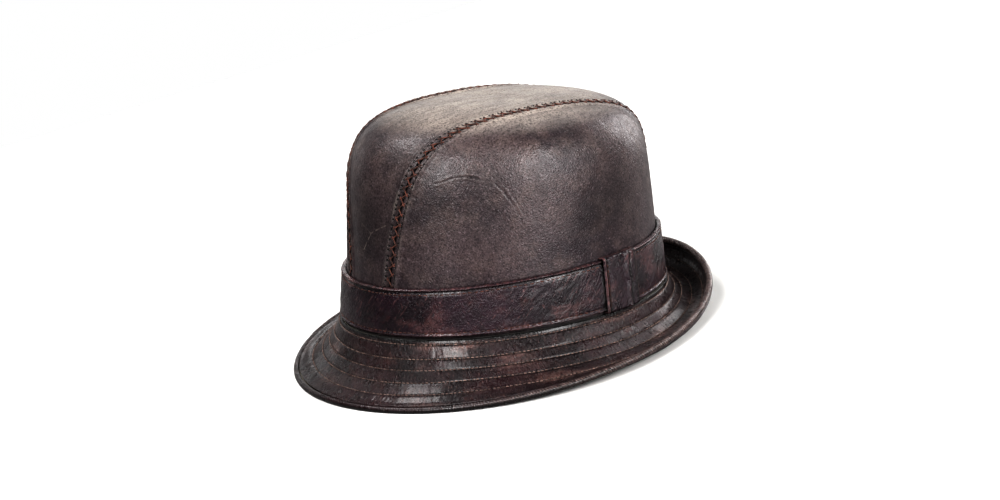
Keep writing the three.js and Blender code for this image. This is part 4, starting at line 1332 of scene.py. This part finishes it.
def make_looks():
    """The materials by name. The waxed leathers list their dark, brown, red and pale colours; the pale one
    shows wear and scratches, and on the bound edge painted highlights too.
    """
    looks = [
        crown_leather([(on_crown(*start), on_crown(*end)) for start, end in SCRATCHES]),
        waxed_leather("band_leather", ("1b0f17", "34202b", "482523", "8c6664"), 38, 11, 0.9, 0.2),
        waxed_leather("brim_leather", ("190c10", "321c20", "4f2a24", "8f716a"), 8, 4.5, 1.1, 0.17),
        waxed_leather("edge_leather", ("1a1013", "332124", "482b27", "9c8782"), 0, 4, 0.3, 0.18),
        thread_material("seam_thread", "714233", "331b12"),
        thread_material("brim_thread", "a38a80", "4a352f"),
        woven("cotton_tape", "2a2624", "3b3633", 0.9, 0.12, Sheen_Weight=0.2),
        woven("lining", "241b20", "3a2e34", 0.7, 0.08, Sheen_Weight=0.3, Specular_IOR_Level=0.6),
        sweatband_leather(),
        felted("stiffening", "9a9488", "6d675d"),
        spring_wire(),
    ]
    return {plain_name(look): look for look in looks}


def build_crown():
    """The crown's panels with their seams, its layers inside and the tape that closes it to the brim."""
    crown_panels()
    for side, word in ((1, "left"), (-1, "right")):
        place(seam_stitching(f"{word}_seam_thread", side), f"{word}_seam_stitching")
        place(seam_tape(f"{word}_tape_cotton", side), f"{word}_seam_tape")
    place(dome("interlining_felt", "stiffening", LOWEST_LINING, 90, INTERLINING_DEPTH, INTERLINING_THICK),
          "crown_interlining")
    side_top, tip_foot = LINING_SEAM - LINING_GAP, LINING_SEAM + LINING_GAP
    place(dome("lining_side_cloth", "lining", LOWEST_LINING, side_top, LINING_DEPTH, LINING_THICK, gathers),
          "lining_side")
    place(dome("lining_tip_cloth", "lining", tip_foot, 90, LINING_DEPTH, LINING_THICK), "lining_tip")
    tape = [(offset, JOIN_TAPE_BOTTOM) for offset in (-JOIN_TAPE_WIDTH, -JOIN_TAPE_WIDTH / 2, 0)]
    tape += [(offset, JOIN_TAPE_TOP) for offset in (0, -JOIN_TAPE_WIDTH / 2, -JOIN_TAPE_WIDTH)]
    place(wall_loft("join_tape_cotton", "cotton_tape", np.array(tape)), "brim_join_tape")


def build_band():
    """The hat band, its keeper and their rows of stitches."""
    place(hat_band(), "hat_band")
    place(band_keeper(), "band_keeper")
    place(band_row("band_top_thread", True), "band_top_stitching")
    place(band_row("band_bottom_thread", False), "band_bottom_stitching")
    place(keeper_row(), "keeper_stitching")


def build_brim():
    """The brim's layers from the top down, its bound and wired edge and its rows of stitches."""
    short = BEAD_RADIUS + GROOVE_GAP
    place(brim_sheet("brim_top_leather", "brim_leather", 0.0, BRIM_LEATHER, TOP_STEPS,
                     brim_shares(TOP_COLUMNS), short, top=1.0), "brim_top")
    under = brim_sheet("brim_under_leather", "brim_leather", UNDER_DEPTH, BRIM_LEATHER, UNDER_STEPS,
                       brim_shares(UNDER_COLUMNS), short, under=UNDER_RELIEF)
    place(press_flat(under), "brim_underside")
    place(brim_sheet("brim_stiffener_felt", "stiffening", STIFFENER_DEPTH, STIFFENER, STIFFENER_STEPS,
                     np.linspace(0, 1, STIFFENER_COLUMNS), WIRE_RADIUS + LAYER_GAP), "brim_stiffener")
    place(edge_binding(), "brim_edge_binding")
    wire = brim_section(WHOLE_RING, BEAD_DEPTH, round_section(WIRE_RADIUS, full_turn(WIRE_SIDES)))
    place(loft("edge_wire_steel", wire, "spring_wire", wrap=True), "brim_edge_wire")
    place(brim_stitches("brim_join_thread", JOIN_ROW), "brim_join_stitching")
    for number, row in enumerate(BRIM_ROWS, 1):
        place(brim_stitches(f"brim_row_{number}_thread", row), f"brim_stitch_row_{number}")


def build_sweatband():
    """The band against the head, its piped lower edge, its stitches and the tab over its joint."""
    place(sweatband(), "sweatband")
    reed_centre = (-SWEAT_DEPTH - SWEAT_THICK / 2, REED_LEVEL)
    reed = round_section(REED_RADIUS, full_turn(REED_SIDES)) + reed_centre
    place(wall_loft("sweatband_reed_leather", "sweatband_leather", reed), "sweatband_reed")
    place(sweat_row(), "sweatband_stitching")
    place(sweatband_tab(), "sweatband_back_tab")


# ---- camera, floor and light ----

CAMERA_AZIMUTH, CAMERA_ELEVATION, CAMERA_ROLL = 55.27, 15.01, -5.01
CAMERA_DISTANCE, CAMERA_LENS = 2000.0, 111.44
AIM_HEIGHT, AIM_LEFT, AIM_LOW = 40.0, 5.18, 12.79
LIT_PLACE, LIGHT_DISTANCE = np.array([0, 0, 0.08]), 1.3
ROOM_LIGHT, BACKDROP_LIGHT, FLOOR_SIDE, GAMMA = 0.02, 1.0, 1.6, 0.65
# Each light's azimuth, elevation, width and height in metres, and radiance.
LIGHTS = {
    "front_light": (-24, 30, 0.6, 0.6, 10),
    "front_spot": (-23, 41, 0.42, 0.42, 18),
    "side_light": (42, 8, 0.7, 0.5, 7.5),
    "side_spot": (46, 25, 0.36, 0.36, 33),
    "far_side_light": (66, 26, 0.5, 0.5, 4.5),
    "back_light": (180, 8, 1.0, 0.4, 2.2),
    "overhead_light": (-114, 62, 0.66, 0.3, 19),
    "right_top_light": (150, 44, 0.5, 0.4, 4),
    "rim_light": (132, 12, 0.5, 0.7, 9),
    "left_rim_light": (-140, 10, 0.5, 0.5, 1.7),
}


def camera_axes():
    """Right, up and backward directions of the camera, in the hat's frame."""
    azimuth, elevation, roll = np.radians([CAMERA_AZIMUTH, CAMERA_ELEVATION, CAMERA_ROLL])
    level = np.cos(elevation)
    back = np.array([np.sin(azimuth) * level, -np.cos(azimuth) * level, np.sin(elevation)])
    right = np.array([np.cos(azimuth), np.sin(azimuth), 0.0])
    up = np.cross(back, right)
    return np.cos(roll) * right + np.sin(roll) * up, np.cos(roll) * up - np.sin(roll) * right, back


def make_camera():
    """The camera of the photograph."""
    right, up, back = camera_axes()
    aim = np.array([0, 0, AIM_HEIGHT]) - AIM_LEFT * right - AIM_LOW * up
    data = bpy.data.cameras.new("camera")
    data.lens = CAMERA_LENS
    data.sensor_width = 36
    data.clip_end = 20
    camera = bpy.data.objects.new("camera", data)
    turn = Matrix(np.stack([right @ HAT_AXES, up @ HAT_AXES, back @ HAT_AXES], 1).tolist())
    camera.matrix_world = Matrix.LocRotScale(Vector(to_row(aim + CAMERA_DISTANCE * back)), turn, None)
    bpy.context.scene.collection.objects.link(camera)
    bpy.context.scene.camera = camera


def area_light(name, azimuth, elevation, width, height, radiance):
    """A soft light that faces the hat. The azimuth is 0 on the camera's side and 90 to its right."""
    right, _, back = (axis @ HAT_AXES for axis in camera_axes())
    right, back = (np.array([axis[0], axis[1], 0]) / np.hypot(axis[0], axis[1]) for axis in (right, back))
    turn, rise = math.radians(azimuth), math.radians(elevation)
    way = np.cos(rise) * (np.sin(turn) * right + np.cos(turn) * back) + np.array([0, 0, np.sin(rise)])
    data = bpy.data.lights.new(name, "AREA")
    data.shape = "RECTANGLE"
    data.size, data.size_y = width, height
    data.energy = radiance * math.pi * width * height
    light = bpy.data.objects.new(name, data)
    light.location = LIT_PLACE + LIGHT_DISTANCE * way
    light.rotation_euler = Vector(-way).to_track_quat("-Z", "Y").to_euler()
    light.visible_camera = False
    bpy.context.scene.collection.objects.link(light)


def make_world():
    """A dim room that the camera sees as a pale backdrop."""
    world = bpy.data.worlds.new("studio")
    world.use_nodes = True
    tree = world.node_tree
    backdrop = tree.nodes["Background"]
    backdrop.inputs["Color"].default_value = (1, 1, 1, 1)
    path = tree.nodes.new("ShaderNodeLightPath")
    choose = tree.nodes.new("ShaderNodeMapRange")
    choose.inputs["To Min"].default_value = ROOM_LIGHT
    choose.inputs["To Max"].default_value = BACKDROP_LIGHT
    tree.links.new(path.outputs["Is Camera Ray"], choose.inputs["Value"])
    tree.links.new(choose.outputs[0], backdrop.inputs["Strength"])
    bpy.context.scene.world = world


def make_floor():
    """A floor that is pale to the camera and darker in the leather's reflections."""
    s = Shader("pale_floor", Specular_IOR_Level=0.1)
    tone = s.tint("eae9e8", "e6e5e3", s.noise(300, 2.0), 0.3, 0.7)
    tone = s.mix(s.node("ShaderNodeLightPath", "Is Camera Ray"), "959392", tone)
    bpy.ops.mesh.primitive_plane_add(size=FLOOR_SIDE, location=(0, 0, 0))
    floor = bpy.context.object
    floor.name = "floor"
    floor.data.materials.append(s.done(tone, s.span(s.noise(200, 1.0, seed=2), 0, 1, 0.8, 0.9)))


LOOKS = make_looks()
build_crown()
build_band()
build_brim()
build_sweatband()
make_camera()
make_floor()
for light_name, light_values in LIGHTS.items():
    area_light(light_name, *light_values)
make_world()
bpy.context.scene.view_settings.view_transform = "Standard"
bpy.context.scene.view_settings.gamma = GAMMA
